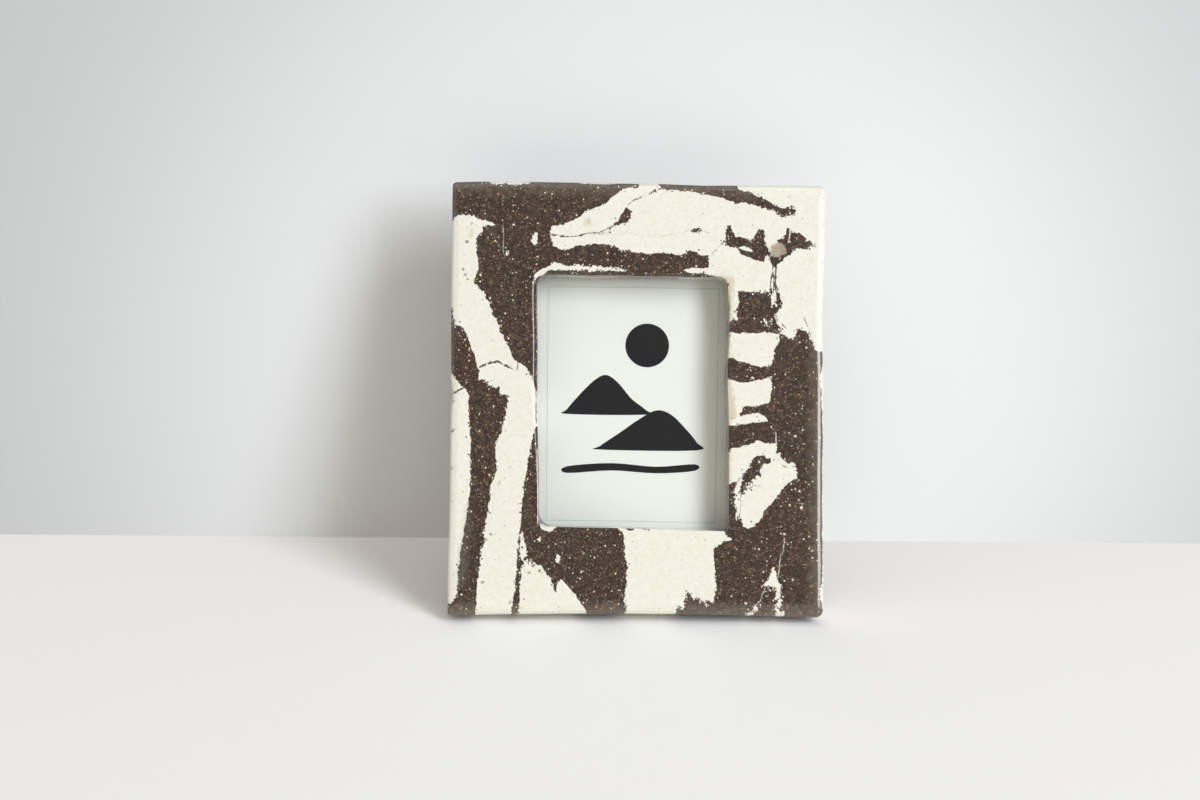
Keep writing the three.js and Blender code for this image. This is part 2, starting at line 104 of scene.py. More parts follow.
# outlines of the two clays on the front, in mm across from the middle and up from the foot edge;
# they run on past the edges so that the sides and the back can follow them through the slab
creamClay = {
    "topTongue": [
        (0.6, 110), (0.4, 105), (-4, 103.8), (-7, 101.5), (-8.5, 100.2), (-12, 98.6), (-15, 96.6),
        (-18.5, 94.9), (-21.3, 94.2), (-21.7, 92.5), (-21.4, 90.4), (-20, 89.2), (-18.3, 88.6),
        (-16.8, 89), (-15, 89.8), (-10, 90.2), (-7, 90), (-4, 89), (-1, 88.4), (2, 88), (5, 88.4),
        (8, 88.1), (10.3, 87.9), (12, 88.9), (14, 88.5), (14.8, 87.6), (16.6, 87.7), (17, 86),
        (16.6, 84.9), (13, 84.7), (11.4, 84.5), (10.5, 84.15), (11.5, 83.6), (13, 80), (17, 79),
        (18.5, 76), (18.5, 72), (19, 69.3), (33.6, 69.2), (34.2, 70.4), (34.7, 70.2), (35, 69.3),
        (35.6, 68.6), (36.6, 68.1), (38, 68.3), (38.3, 69.2), (38.7, 70), (39.3, 70.3), (39.8, 69.9),
        (40.6, 69.7), (41.3, 69.3), (41.8, 68.6), (42.3, 67.7), (42.7, 66.9), (43.1, 66), (43.4, 65.2),
        (46, 64.6), (54, 64.5), (54, 110)],
    "overWindow": [
        (-25.4, 82.2), (-24.3, 83.6), (-22.5, 84.3), (-21.2, 85.3), (-20.8, 86), (-19.8, 85.6),
        (-18, 85), (-15, 85.15), (-10, 84.85), (-6, 84.4), (-3.5, 84), (-2.3, 83.75), (-3, 83),
        (-6, 80), (-24, 80)],
    "rightUpperBar": [
        (20, 69.4), (33.4, 69.4), (33.3, 66), (32.6, 63.4), (32, 61.4), (30, 61), (28, 61.2),
        (26, 62), (24, 62.3), (22.5, 63), (20, 63.4)],
    "rightMiddleBar": [
        (20, 57.6), (23, 57.6), (24.5, 57.1), (26, 57.2), (28, 57.6), (30, 58), (32, 58.6),
        (32.3, 56), (31.9, 53), (31.4, 52.2), (28, 51.5), (26, 51.4), (25, 50.5), (24.6, 49.2),
        (24, 48.6), (22.5, 48.3), (20, 48.5)],
    "rightSliver": [
        (20, 48.6), (22.5, 48.5), (24.5, 48.7), (26.5, 49.5), (28.5, 49.8), (30, 49.5), (31.6, 48),
        (31, 47.7), (28.5, 47.5), (26, 47.2), (24, 46.9), (20, 46.8)],
    "rightLeaf": [
        (20, 39.8), (22.1, 40.3), (22.4, 41), (23.2, 41.4), (24.3, 41.5), (25.3, 41.7), (26.3, 41.8),
        (27.3, 42.1), (28.2, 42.4), (28.6, 43), (29.4, 43), (30.4, 42.6), (31.4, 42.4), (32.4, 42.5),
        (33.3, 42.2), (33.6, 41.6), (33.5, 40.1), (34.3, 40), (34.5, 39.3), (35.2, 38.7), (35.7, 38),
        (36.3, 37.6), (37, 37.5), (37.7, 38.1), (38.1, 37.7), (38.5, 36.8), (38.7, 35.5), (38.6, 34),
        (37.9, 33.8), (37, 33.3), (36.2, 32.6), (35.4, 31.9), (34.8, 31), (33.6, 29.3), (32.2, 27.7),
        (31, 26.3), (30.5, 25.3), (29.9, 24.3), (29.2, 23.5), (28.4, 22.7), (27.6, 22), (26.6, 21.9),
        (25.9, 22.1), (25.6, 22.8), (25.2, 23.7), (24.9, 24.9), (24.4, 24.6), (24, 23.7), (23.7, 24.3),
        (24.1, 25.8), (23.7, 27), (23.5, 28.6), (23.6, 29.6), (23.4, 30.6), (23.5, 31.6), (24.2, 33),
        (22.8, 33), (22.3, 32.6), (20, 32.4)],
    "footBlock": [
        (-4.8, 24), (-4.8, 22), (-3.3, 20), (-2.8, 16), (-2.4, 12), (-2.5, 8), (-3, 4), (-2.2, 1),
        (-2.2, -6), (9.7, -6), (9.7, 2.4), (10.4, 3.7), (11, 2.5), (11.6, 2.8), (11.8, 4),
        (12.2, 6.3), (12.8, 6.6), (13.4, 5), (14.5, 4.9), (15.5, 4.2), (17.5, 4.5), (18.5, 4),
        (18.9, 6), (19.1, 9), (18.9, 12), (18.6, 15), (18.5, 17.2), (19.6, 17.6), (20.6, 18.4),
        (21.6, 18.8), (22.6, 19.2), (21.9, 19.9), (21.5, 20.5), (21.2, 21.2), (20, 23), (16, 24)],
    "footCorner": [
        (-28.2, -6), (-28.2, 1), (-28, 8), (-27.6, 12.5), (-26.3, 13.5), (-24, 13), (-22.5, 12),
        (-21.6, 10.5), (-20.8, 9.4), (-20, 7.5), (-19.2, 5.2), (-19.3, 8.2), (-18.5, 9),
        (-17.5, 8.8), (-16, 7), (-14.5, 5.2), (-13.6, 3.8), (-12.3, 2), (-11.3, 0.8), (-11, -6)],
    "footSliver": [
        (-27.9, 20.5), (-27.2, 19.5), (-26.6, 15.5), (-26.8, 14.4), (-27.8, 14), (-28.2, 16)],
    "leftStripe": [
        (-52, 94.5), (-46, 95.3), (-44.5, 96.5), (-42.5, 96.9), (-40, 96.6), (-38.8, 95.8),
        (-37, 95.6), (-35.2, 94.9), (-35.4, 94.3), (-37.5, 94.2), (-38.2, 92.8), (-39.2, 91.5),
        (-39.5, 89.5), (-39.3, 87.5), (-38.8, 84.5), (-39.7, 82), (-39.6, 80.5), (-38, 78.8),
        (-37, 77), (-35.8, 74.5), (-34.8, 72), (-33.8, 70), (-32.8, 67.5), (-31.4, 65),
        (-30.5, 62.8), (-29, 61.2), (-27.5, 60.6), (-26.5, 59.5), (-25.3, 57), (-24.6, 55),
        (-22, 54), (-22, 47), (-24.6, 46), (-25.2, 44), (-26, 40), (-26.8, 35.5), (-27.5, 30),
        (-28, 24), (-28.6, 19), (-28.9, 13), (-29.3, 8), (-29.8, 2), (-30, -6), (-39.5, -6),
        (-39.3, 0), (-38.5, 0.6), (-38.5, 3), (-38.3, 8), (-37.8, 12), (-37.4, 16.5), (-36.5, 18.5),
        (-36.7, 20.5), (-36, 24.5), (-35.7, 28), (-35.5, 31), (-34.6, 33.5), (-34, 36), (-34.3, 40),
        (-33.7, 43), (-32.8, 45), (-32.3, 48), (-31.6, 51), (-31.5, 53.4), (-33.5, 53.6),
        (-33.3, 55.4), (-35, 55.2), (-36.2, 56.3), (-36.8, 57), (-38.5, 57.2), (-38.3, 59),
        (-38.7, 60), (-39, 61), (-40, 63.8), (-41, 66.5), (-42, 69.2), (-43.6, 70.3), (-44.3, 70.6),
        (-44.8, 73), (-45.5, 75), (-52, 76)],
    "farLeftStripe": [
        (-52, 61), (-46.2, 60.5), (-45, 58.5), (-44, 57.2), (-43.2, 56), (-42, 55), (-41.2, 53.5),
        (-40.9, 50), (-40.6, 45), (-40.4, 40), (-40.3, 35), (-40.4, 30), (-41, 25), (-41.8, 20),
        (-42.5, 15), (-43, 10), (-43, 6), (-43.5, 4.5), (-45, 3.5), (-52, 3)],
    "footVein": [
        (30.8, 8.1), (31, 8.9), (31.7, 9.6), (32.2, 10.7), (32.7, 12), (33.1, 12.7), (33.4, 12),
        (33.9, 11.5), (33.6, 10.5), (34.1, 9.9), (34.4, 8.8), (35.1, 8.2), (34.7, 7.5), (34.8, 6.9),
        (34.5, 6.2), (34.8, 5.4), (35, 4.2), (34.8, 3), (34.7, 2), (35.9, 1.3), (35, -4), (33.8, -4),
        (34, 1.7), (33.2, 2.3), (33.8, 3.4), (33.8, 5), (33.5, 5.8), (33.8, 7), (33.4, 8), (32.2, 8)],
    "footChip": [
        (27.1, 1.2), (27.7, 2), (28.3, 2.7), (28.6, 3.5), (29.2, 3.9), (29, 3), (29.5, 2.4),
        (28.7, 2), (28.4, 1), (28.2, -3), (27.4, -3)],
    "rightSide": [(45.25, 3), (45.4, 14), (45.3, 30), (45.45, 46), (45.3, 62), (55, 63), (55, 3)],
}
darkClay = {
    "topWedge": [
        (1.2, 102.2), (3.5, 103), (5.5, 103.8), (9, 103.9), (13, 103.5), (17, 102.6), (21, 101.6),
        (24, 100.6), (25.5, 100.9), (29, 99.9), (32, 99.3), (34, 98), (35.5, 97.4), (36.5, 98.3),
        (38, 99), (36.5, 100.2), (34.5, 99.8), (31.5, 101.2), (28.5, 102.8), (26, 103.9), (24, 105),
        (24, 110), (5.5, 110), (5.2, 104.9), (3.4, 103.7)],
    "tongueWedge": [
        (-7.5, 94.3), (-5.5, 95.8), (-4.6, 97.4), (-3.6, 98.9), (-2.6, 100), (-2.8, 98.8),
        (-2.2, 98.2), (-2.3, 96.6), (-3.2, 95.6), (-5, 95.1), (-6.5, 94.4)],
    "tongueMark": [(12.6, 93.8), (13.8, 94.5), (15, 94.4), (15.8, 94), (14.6, 93.6), (13.6, 93.5)],
    "headEdge": [
        (-22.5, 83.3), (-20, 83.8), (-15, 83.85), (-10, 83.8), (-5, 83.75), (0, 83.7), (5, 83.7),
        (10, 83.6), (15, 83.45), (18, 82.9), (19.4, 82.3), (19.2, 80), (-22.5, 80)],
    "crown": [
        (20, 91), (20.6, 92), (21.1, 93.2), (21.3, 94.6), (21.7, 95.3), (22.4, 94.4), (22.8, 93.2),
        (23.6, 92.7), (25.2, 92.4), (26.2, 91.9), (26.9, 91.2), (27.3, 91.4), (27.7, 92.4), (28, 93.2),
        (28.5, 93.8), (29.3, 94.1), (30.1, 93.9), (30.5, 93.2), (30.4, 92.2), (30.3, 91.3), (30.9, 90.4),
        (31.5, 89.4), (31.9, 88.2), (32.3, 87), (32.1, 86.4), (31.5, 87.4), (30.9, 88.1), (30.5, 87.2),
        (30, 86.7), (29, 86.8), (27.5, 87.2), (26, 87.7), (25, 88.1), (24.2, 89), (23.4, 89.8),
        (21.8, 90.2), (20.8, 90.8)],
    "wing": [
        (33.4, 91.6), (34.4, 92.2), (35, 92.9), (35.5, 93.7), (36, 94.5), (36.5, 94.9), (36.8, 94.2),
        (37.4, 93.9), (38.2, 93.9), (39, 93.6), (39.8, 93), (40.4, 92.3), (41.2, 91.7), (42.4, 90.9),
        (43.7, 90), (42.4, 90.3), (41.4, 90.4), (40.4, 89.9), (39, 89.7), (37.7, 89.5), (37.1, 88.9),
        (36.4, 88.2), (35.2, 87.5), (34.5, 86.7), (33.6, 85.9), (33.1, 86.4), (33.8, 87.4), (34.4, 89),
        (34.2, 90.6)],
    "veinFork": [
        (31.7, 88.3), (33, 87.9), (34.1, 87.2), (33.4, 85.7), (32.8, 84.3), (32.4, 85.2), (32, 86.8)],
    "veinFoot": [
        (33.2, 80.6), (33.6, 80), (34.1, 78.6), (34.5, 77.4), (34.7, 76.4), (34.5, 75.4), (34, 74.6),
        (33.3, 74), (33.1, 75.4), (33.2, 76.8), (33.3, 78), (33.1, 79.4)],
    "rightBlock": [
        (24.1, 79.3), (26, 79.1), (29, 79.1), (31, 79.2), (32.2, 79.4), (32.2, 78.4), (32, 77), (32.1, 76),
        (33.2, 75.5), (33.5, 74.2), (33.4, 73), (33.6, 71.4), (34.2, 70.5), (34, 69.2), (33, 68.9),
        (31, 69.3), (29, 69.2), (26, 69), (24, 69.2), (20, 69.4), (20, 71.6), (22.1, 71.8), (22.5, 72.6),
        (22.9, 73.4), (23.3, 72.8), (23.8, 72.1), (23.9, 73.4), (23.8, 75), (24.2, 76.4), (24.1, 78)],
    "blockCrumb": [(22.7, 74.1), (23, 74.5), (23.5, 74.3), (23.2, 73.9)],
    "leafCrescent": [
        (24.9, 30.4), (24.9, 31.8), (25.3, 33.4), (25.8, 35), (26.3, 36), (27.3, 37.6), (28, 38.4),
        (28.8, 39.1), (30, 39.9), (30.6, 40.3), (30.7, 39.4), (31.2, 39), (31.8, 38.8), (32.4, 38.4),
        (32.2, 37.9), (31.4, 37.6), (30.4, 37.5), (30, 36.8), (29.7, 35.4), (29.9, 34), (29, 34.5),
        (28.5, 33.7), (27.6, 33.6), (27, 32.2), (26.2, 31.4), (25.6, 30.2)],
    "sillChips": [(-2.8, 21.9), (-2.2, 21.4), (-1.4, 21.3), (-0.7, 21.8), (-0.7, 24), (-2.8, 24)],
    "sillChip": [(1.3, 21.8), (1.8, 21.3), (2.6, 21.2), (3.1, 21.7), (3.1, 24), (1.3, 24)],
}
creamChips = {
    "crownGleam": [(24.3, 89.9), (25.4, 90.2), (26.6, 89.8), (27.6, 89.2), (27.2, 88.9), (25.6, 89.4)],
    "leafGleam": [(29.3, 37.4), (29.7, 38), (30.2, 39.1), (30, 39.4), (29.5, 38.6), (29.1, 37.8)],
    "blockChipLeft": [(30.4, 72.7), (30.7, 72.8), (30.9, 71.9), (31.6, 71.4), (31.3, 71), (30.6, 71.6)],
    "blockChipRight": [(31.8, 72.1), (32.3, 72), (32.7, 71.4), (32.2, 71.5)],
    "leftSpot": [(-25.8, 90.1), (-24.9, 90.2), (-24.7, 91.5), (-24.9, 92.7), (-25.6, 92.6), (-26.1, 91)],
    "footSpot": [(-19.3, 13.4), (-18.8, 13.4), (-18.6, 14.8), (-19, 15.3), (-19.4, 14.6)],
    "sillSpot": [(-23.9, 18.4), (-23.5, 18.2), (-23.1, 18.7), (-23.4, 19.2), (-23.9, 19)],
    "sillChipPale": [
        (-23, 21.6), (-22, 20.9), (-21.2, 20.6), (-20.4, 21.2), (-19.6, 22.2), (-21, 23), (-23, 23)],
    "rimLeft": [
        (-35.8, 105.2), (-34, 104.9), (-31, 104.95), (-28, 104.8), (-26.6, 105.1), (-26.6, 107.5),
        (-35.8, 107.5)],
    "rimMiddle": [(-15, 105.5), (-9, 105.3), (-4, 105.6), (-5, 106.4), (-11, 106.6)],
    "leftFleck": [(-32.4, 87.3), (-31.9, 87.2), (-31.6, 88), (-32, 88.3)],
}
# brown seams where two strips were pressed together, and pale veins in the dark clay: points and width. The
# last seam is a painted shadow line along the window's right edge, and the last vein a painted highlight
# along its lower left edge.
cracksAndEdgeShadow = [
    ([(-21.8, 92.6), (-18, 92), (-15, 92.2), (-12.5, 92.9), (-10, 93), (-8, 94), (-6.2, 94.7)], 0.5),
    ([(-4, 98.3), (-3, 99.8), (-1.5, 101), (0.6, 101.9)], 0.34),
    ([(-9.5, 92.5), (-5, 92.7), (-2, 93.1), (0, 92.4), (6, 92.6), (9, 93), (13, 94), (17.4, 93.3)], 0.08),
    ([(31.4, 88.4), (32.1, 86.8), (32.5, 85.4), (32.3, 83.8), (32, 82), (31.9, 80.3), (32.2, 78.4)], 0.6),
    ([(33.6, 87), (33.3, 85.8), (33.2, 84.4), (33.1, 83), (33, 81.4), (33.4, 79)], 0.75),
    ([(-38.6, 60), (-36.5, 61), (-35, 61.3), (-34, 61.6), (-33, 61), (-32, 60.5), (-30.2, 59.7)], 0.85),
    ([(-29.3, 59), (-29.2, 61), (-29.1, 63.5)], 0.3),
    ([(-24.6, 57.5), (-24.45, 54), (-24.4, 50), (-24.45, 46.5)], 0.4),
    ([(-46, 53.9), (-43.4, 54.6), (-41.8, 55.7), (-40.4, 56.6)], 0.8),
    ([(24.6, 24.4), (25, 27), (25, 29.5), (25.3, 32)], 0.24),
    ([(24.1, 32.9), (24.9, 34.2), (25.8, 34.6)], 0.24),
    ([(26.8, 30.8), (27.7, 32), (28.5, 32.3), (29.6, 31.8)], 0.36),
    ([(33.8, 37.9), (35.2, 37.1), (36.8, 36.4)], 0.26),
    ([(40, 73.5), (41, 71.5), (41.6, 70), (42.1, 68.4)], 0.34),
    ([(34.6, 71.8), (35.2, 71), (35.9, 70.2)], 0.4),
    ([(17.2, 87.6), (18.6, 89.6), (20.6, 91.2)], 0.2),
    # a painted shadow line along the window's right edge, not a seam
    ([(21.1, 81.6), (21.6, 79), (21.95, 76), (22.1, 73)], 0.2),
]
paleVeinsAndEdgeHighlight = [
    ([(-33.1, 95), (-32.9, 91.5), (-33, 88.5), (-32.5, 86.5)], 0.14),
    ([(34, 9.6), (34.4, 12), (34.5, 13.5), (34.9, 15.6)], 0.24),
    ([(35.1, 15), (35.3, 17), (35.7, 18.6), (35.5, 20)], 0.22),
    ([(29.2, 3.4), (30, 4.6), (30.4, 6.2), (31.4, 8.2)], 0.18),
    ([(33.6, 41.4), (33.5, 43), (33.4, 45.6)], 0.3),
    ([(36.4, 95.6), (36.55, 94), (36.4, 92.6), (36.1, 91)], 0.36),
    # a painted highlight along the rounded lower left edge of the window, not a vein
    ([(-23.95, 22.4), (-23.9, 26), (-23.95, 31), (-24.1, 36), (-24.2, 41)], 0.3),
]
# a grey pebble, and single big grains of sand: place and radius
greyPebble = [(33.6, 89.3, 1.85)]
bigGrains = [
    (38.2, 44.3, 0.36), (39.3, 31, 0.34), (36.9, 27.6, 0.32), (39.8, 27, 0.44), (26.4, 3.9, 0.4),
    (37.7, 9.6, 0.32), (35.6, 20.6, 0.34), (42.5, 16.6, 0.3), (39.1, 28.9, 0.3), (31.4, 5.6, 0.3),
    (40.9, 65.8, 0.34), (24.1, 16.9, 0.28), (29.5, 16.9, 0.3), (23.4, 7.2, 0.26), (40.4, 19.4, 0.28),
]
# thin washes of dark slip over the clay, and tan drag marks
slipWash = {
    "leftStripe": [(-41.0, 28), (-40.2, 28), (-39.8, 22), (-40.2, 15), (-40.9, 8), (-43.4, 7), (-43.1, 14),
                   (-42.2, 20)],
}
tanSmudge = {
    "rightEdge": [
        (21, 33), (22.6, 33), (22.7, 41), (22.5, 47.4), (23.7, 48.8), (23.8, 52), (23.1, 55), (22.6, 57),
        (22.5, 63), (22.6, 69.5), (22.7, 75), (22.9, 79), (23.2, 82), (22.2, 83), (20, 83), (21, 80)],
    "tongueBlush": [(-13.6, 95), (-12.2, 94.8), (-11.4, 95.8), (-12.2, 96.6), (-13.4, 96.2)],
    "stripeBlush": [(-41.3, 91.6), (-40.4, 91.4), (-40.2, 93), (-40.4, 93.8), (-41, 93)],
}
# rusty spots on the cream clay: place and radius
rustSpots = [
    (-40.6, 94.8, 0.3), (-41.7, 90.4, 0.42), (-42.4, 83.7, 0.36), (-42.1, 82.5, 0.36), (-41.5, 81.3, 0.28),
    (-33.3, 32.3, 0.36), (-35.2, 20, 0.34), (-37, 8.5, 0.34), (-30.2, 3.8, 0.4), (-36.2, 18.9, 0.3),
    (-24.9, 12.6, 0.4), (-23.4, 11.3, 0.34), (-25.7, 11, 0.3), (44.3, 102.4, 0.4), (44.5, 100.8, 0.3),
    (44.6, 86.4, 0.3), (-44.6, 45, 0.4), (-44.8, 36, 0.36), (-44.7, 52, 0.34), (-44.6, 28, 0.3),
]
# spots where the border is all crumbs: place and reach
crumbSpots = [
    (-25.2, 14.0, 3.6), (36.8, 99.0, 3.4), (23.8, 28.5, 3.6), (14, 3.8, 4.5), (-43.5, 3.4, 4.0),
    (21, 91.4, 3.0), (38.5, 91.5, 3.4), (33.6, 6, 4.0), (36.5, 69, 3.4), (-36.5, 55.5, 3.0),
    (42, 68.5, 2.6), (-2.6, 3, 2.0), (27.2, 32.2, 1.8), (32.4, 71.6, 2.4), (28.4, 2.4, 2.6),
    (14.2, 94, 1.9),
]
# how the pattern drifts and wavers through the slab, points per stretch of an outline, how far a border
# and a single mark are felt, how a strand tapers off and how crumbs spread
marbling = {"depthShift": (0.28, 0.26), "waver": 1.0, "waverX": (0.19, 0.5), "waverZ": (0.23, -0.4),
            "smoothSteps": 4, "reach": 4.0, "markReach": 1.0, "strandEnd": 0.7, "crumbleGain": 2.0}


# values a potter would change, in mm, the foot's slant in degrees; corners run lower right, upper right,
# upper left, lower left, and an inset leaves at least this share of their radius
slab = {
    "width": 91.0, "height": 105.5, "footArch": 0.7, "footSlant": 7.0, "footLift": 0.03,
    "corners": (2.2, 1.8, 1.2, 1.0), "leastCorner": 0.25,
    # inset and depth from the face round to the side; the sides were sponged less than the top and the foot
    "softRoll": [(3.9, 0.0), (3.1, 0.05), (2.3, 0.16), (1.6, 0.32), (1.05, 0.52), (0.62, 0.78),
                 (0.3, 1.12), (0.09, 1.55), (0.0, 2.1)],
    "tightRoll": [(2.0, 0.0), (1.75, 0.025), (1.5, 0.075), (1.2, 0.15), (0.9, 0.245), (0.62, 0.36),
                  (0.32, 0.62), (0.1, 1.05), (0.0, 1.7)],
    "backEdge": 1.2, "frontWall": 6.0, "lip": 4.5, "rebateCorner": 2.0,
    # spacing of the mesh along the outline, steps round a corner, every how many points of a smoothed roll
    # are taken, and steps across each stretch of the slab
    "facet": 0.49, "cornerSteps": 10, "rollStep": 3, "sideSteps": 8, "backRound": 6, "backSteps": 18,
    "rebateSteps": 2, "lipSteps": 2, "revealSteps": 9, "windowRound": 7, "faceSteps": 54,
    # waves left by the hand, in radians per mm along x, y and z, phase and strength; they only take clay away
    "faceWaves": [(0.31, 0, 0.17, 0, 1), (-0.11, 0, 0.23, 1.7, 1), (0.47, 0, -0.39, 0.6, 1)],
    "edgeWaves": [(0.21, 0, 0.16, 0.8, 1), (0.43, 0.3, -0.43, 0, 1), (0.9, 0, 0.9, 2.1, 0.4)],
    "unevenFace": 0.10, "unevenEdge": 0.06, "rimReach": 6.0, "hiddenFade": 2.0,
    "crackDepth": 0.12, "crackHalfWidth": 0.22, "crackTo": 1.0,
    # how far each side was trimmed in, along its length, and how that falls off across the face
    "trimReach": 9.0, "trimFall": 1.5,
    "trimRight": [(0, 0.0), (12, 0.1), (22, 0.3), (52, 0.3), (62, 0.45), (72, 0.6), (82, 0.3), (92, 0.0)],
    "trimLeft": [(0, 0.0), (14, 0.0), (22, 0.25), (46, 0.25), (50, 0.3), (53.5, 0.75), (57, 0.2),
                 (66, 0.05), (105, 0.0)],
    "trimTop": [(-45, 0.35), (-38, 0.1), (-30, 0.0), (5, 0.05), (16, 0.3), (26, 0.1), (45, 0.0)],
}
slabFoot = slabTop - slab["height"]
window = {
    "width": 46.0, "height": 61.5, "foot": 21.75, "offset": -1.4,
    # radii of its corners at the face, and where the wall ends behind it
    "corners": (0.9, 2.2, 2.4, 1.0), "throat": (0.9, 2.2, 2.4, 3.4),
    # how far the knife strayed along each side, in the direction of x or z
    "right": [(26, 0.5), (36, 0.4), (44, 0.4), (56, 0.0), (62, -0.05), (71, 0.35), (76, 0.15), (80, -0.25)],
    "head": [(-24, -0.6), (-18, -0.5), (-12, -0.65), (-6, -0.5), (0, -0.62), (6, -0.55), (12, -0.68),
             (18, -0.55)],
    "left": [(21, 0.8), (36, 0.6), (50, 0.1), (67, 0.05), (77, -0.2)],
    "sill": [(-20, 0.2), (0, -0.1), (21, -0.55)],
    # how round each edge was sponged; the left one grows rounder upwards
    "edgeRight": 0.35, "edgeHead": 0.9, "edgeSill": 0.35,
    "edgeLeft": [(21, 0.3), (30, 0.5), (40, 0.9), (55, 1.5), (84, 1.65)],
    # painted shade on the window's right wall, laid on with the dark slip wash: its reach across, its start,
    # how far past the wall, and its strength
    "rightWallShade": {"reach": 1.2, "start": 0.2, "past": 0.1, "wash": 2.0},
}


# a smooth curve through the points of an outline
def smoothOutline(points, closed=True):
    knots = np.array(points, float)
    last = len(knots) if closed else len(knots) - 1
    steps = np.linspace(0, 1, marbling["smoothSteps"], endpoint=False)[:, None]
    runs = []
    for i in range(last):
        around = [i - 1, i, i + 1, i + 2]
        picks = [k % len(knots) if closed else min(max(k, 0), len(knots) - 1) for k in around]
        a, b, c, d = knots[picks]
        runs.append(0.5 * (2 * b + (c - a) * steps + (2 * a - 5 * b + 4 * c - d) * steps ** 2
                           + (3 * b - a - 3 * c + d) * steps ** 3))
    if not closed:
        runs.append(knots[-1:])
    return np.vstack(runs)


# how far inside (plus) or outside (minus) the nearest of some outlines each point lies
def patchDepth(points, outlines):
    reach = marbling["reach"]
    deepest = np.full(len(points), -reach)
    for outline in outlines.values():
        line = smoothOutline(outline)
        near = ((points > line.min(axis=0) - reach) & (points < line.max(axis=0) + reach)).all(axis=1)
        here = points[near]
        best = np.full(len(here), reach ** 2)
        inside = np.zeros(len(here), bool)
        for start, end in zip(line, np.roll(line, -1, axis=0)):
            along = end - start
            offset = here - start
            share = np.clip(offset @ along / max(along @ along, 1e-12), 0, 1)
            best = np.minimum(best, ((offset - share[:, None] * along) ** 2).sum(axis=1))
            if start[1] != end[1]:
                spans = (start[1] > here[:, 1]) != (end[1] > here[:, 1])
                crossing = start[0] + offset[:, 1] / along[1] * along[0]
                inside ^= spans & (here[:, 0] < crossing)
        depth = np.where(inside, np.sqrt(best), -np.sqrt(best))
        deepest[near] = np.maximum(deepest[near], depth)
    return deepest


# signed distance to the nearest of some open lines, and that line's width, which tapers off at its ends
def strandGap(points, strands):
    gap = np.full(len(points), marbling["reach"])
    width = np.zeros(len(points))
    for strand, strandWidth in strands:
        line = smoothOutline(strand, False)
        lengths = np.linalg.norm(np.diff(line, axis=0), axis=1)
        passed = np.cumsum(lengths) - lengths
        for start, end, length, before in zip(line[:-1], line[1:], lengths, passed):
            along = end - start
            offset = points - start
            share = np.clip(offset @ along / length ** 2, 0, 1)
            distance = np.linalg.norm(offset - share[:, None] * along, axis=1)
            nearer = distance < np.abs(gap)
            side = np.where(along[0] * offset[:, 1] >= along[1] * offset[:, 0], 1, -1)
            travelled = before + share * length
            toEnd = np.minimum(travelled, lengths.sum() - travelled)
            gap[nearer] = (side * distance)[nearer]
            width[nearer] = strandWidth * np.clip(toEnd[nearer] / marbling["strandEnd"], 0, 1)
    return gap, width


# what the clay is at each point of the slab; the marbling drifts sideways as it goes through the slab
def clayFields(local):
    depth = local[:, 1]
    shiftX, shiftZ = marbling["depthShift"]
    waver = marbling["waver"] * np.clip(depth / slabThickness, 0, 1)
    (upX, throughX), (acrossZ, throughZ) = marbling["waverX"], marbling["waverZ"]
    x = local[:, 0] + shiftX * depth + waver * np.sin(upX * local[:, 2] + throughX * depth)
    z = local[:, 2] + shiftZ * depth + waver * np.sin(acrossZ * local[:, 0] + throughZ * depth)
    points = np.column_stack([x, z])
    cream = np.minimum(patchDepth(points, creamClay), -patchDepth(points, darkClay))
    crack, crackWidth = strandGap(points, cracksAndEdgeShadow)
    vein, veinWidth = strandGap(points, paleVeinsAndEdgeHighlight)
    crumble = np.max([1 - np.hypot(x - cx, z - cz) / size for cx, cz, size in crumbSpots], axis=0)
    crumble = np.clip(crumble * marbling["crumbleGain"], 0, 1)
    marks = {"grain": bigGrains, "spot": rustSpots, "pebble": greyPebble}
    marks = {name: np.max([radius - np.hypot(x - cx, z - cz) for cx, cz, radius in spots], axis=0)
             for name, spots in marks.items()}
    marks = {name: np.maximum(depth, -marbling["markReach"]) for name, depth in marks.items()}
    # the window's right wall takes the dark wash at full strength: painted shade
    rightWallShade = window["rightWallShade"]
    cut = np.abs(local[:, 0] - window["offset"] - window["width"] / 2) < rightWallShade["reach"]
    cut &= (depth > rightWallShade["start"]) & (depth < slab["frontWall"] + rightWallShade["past"])
    wash = np.maximum(patchDepth(points, slipWash), np.where(cut, rightWallShade["wash"], -marbling["reach"]))
    return {"clay": np.maximum(cream, patchDepth(points, creamChips)), "crumble": crumble, "wash": wash,
            "crack": crack, "crackWidth": crackWidth, "vein": vein, "veinWidth": veinWidth,
            "smudge": patchDepth(points, tanSmudge), "film": rimSlipAndSheen(local), **marks}


# a film of slip left by the sponge along the rim, and painted sheen: on the dark clay it lightens the rim as
# the glaze's gleam on the rounded edges does; its reach in mm and its strength on each side
slipAndSheenBands = {"right": (5.2, 1.0), "top": (4.8, 0.75), "left": (3.0, 0.1), "foot": (4.4, 1.0)}


def rimSlipAndSheen(local):
    half = slab["width"] / 2
    gaps = {"right": half - local[:, 0], "top": slab["height"] - local[:, 2], "left": half + local[:, 0],
            "foot": local[:, 2]}
    bands = [strength * (1 - gaps[side] / reach) for side, (reach, strength) in slipAndSheenBands.items()]
    return np.clip(np.max(bands, axis=0), 0, 1)


# steps along the right side, the top, the left side and the foot of every loop of the mesh
sideSteps = [round(slab[size] / slab["facet"]) for size in ("height", "width", "height", "width")]


# how much of each side (right, top, left, foot) there is at each point of a loop; corners blend two
def sideShares():
    rows = []
    turn = np.linspace(0, 1, slab["cornerSteps"] + 1)[:, None]
    for i, steps in enumerate(sideSteps):
        rows += [np.eye(4)[i - 1] * (1 - turn) + np.eye(4)[i] * turn, np.tile(np.eye(4)[i], (steps - 1, 1))]
    return np.vstack(rows)


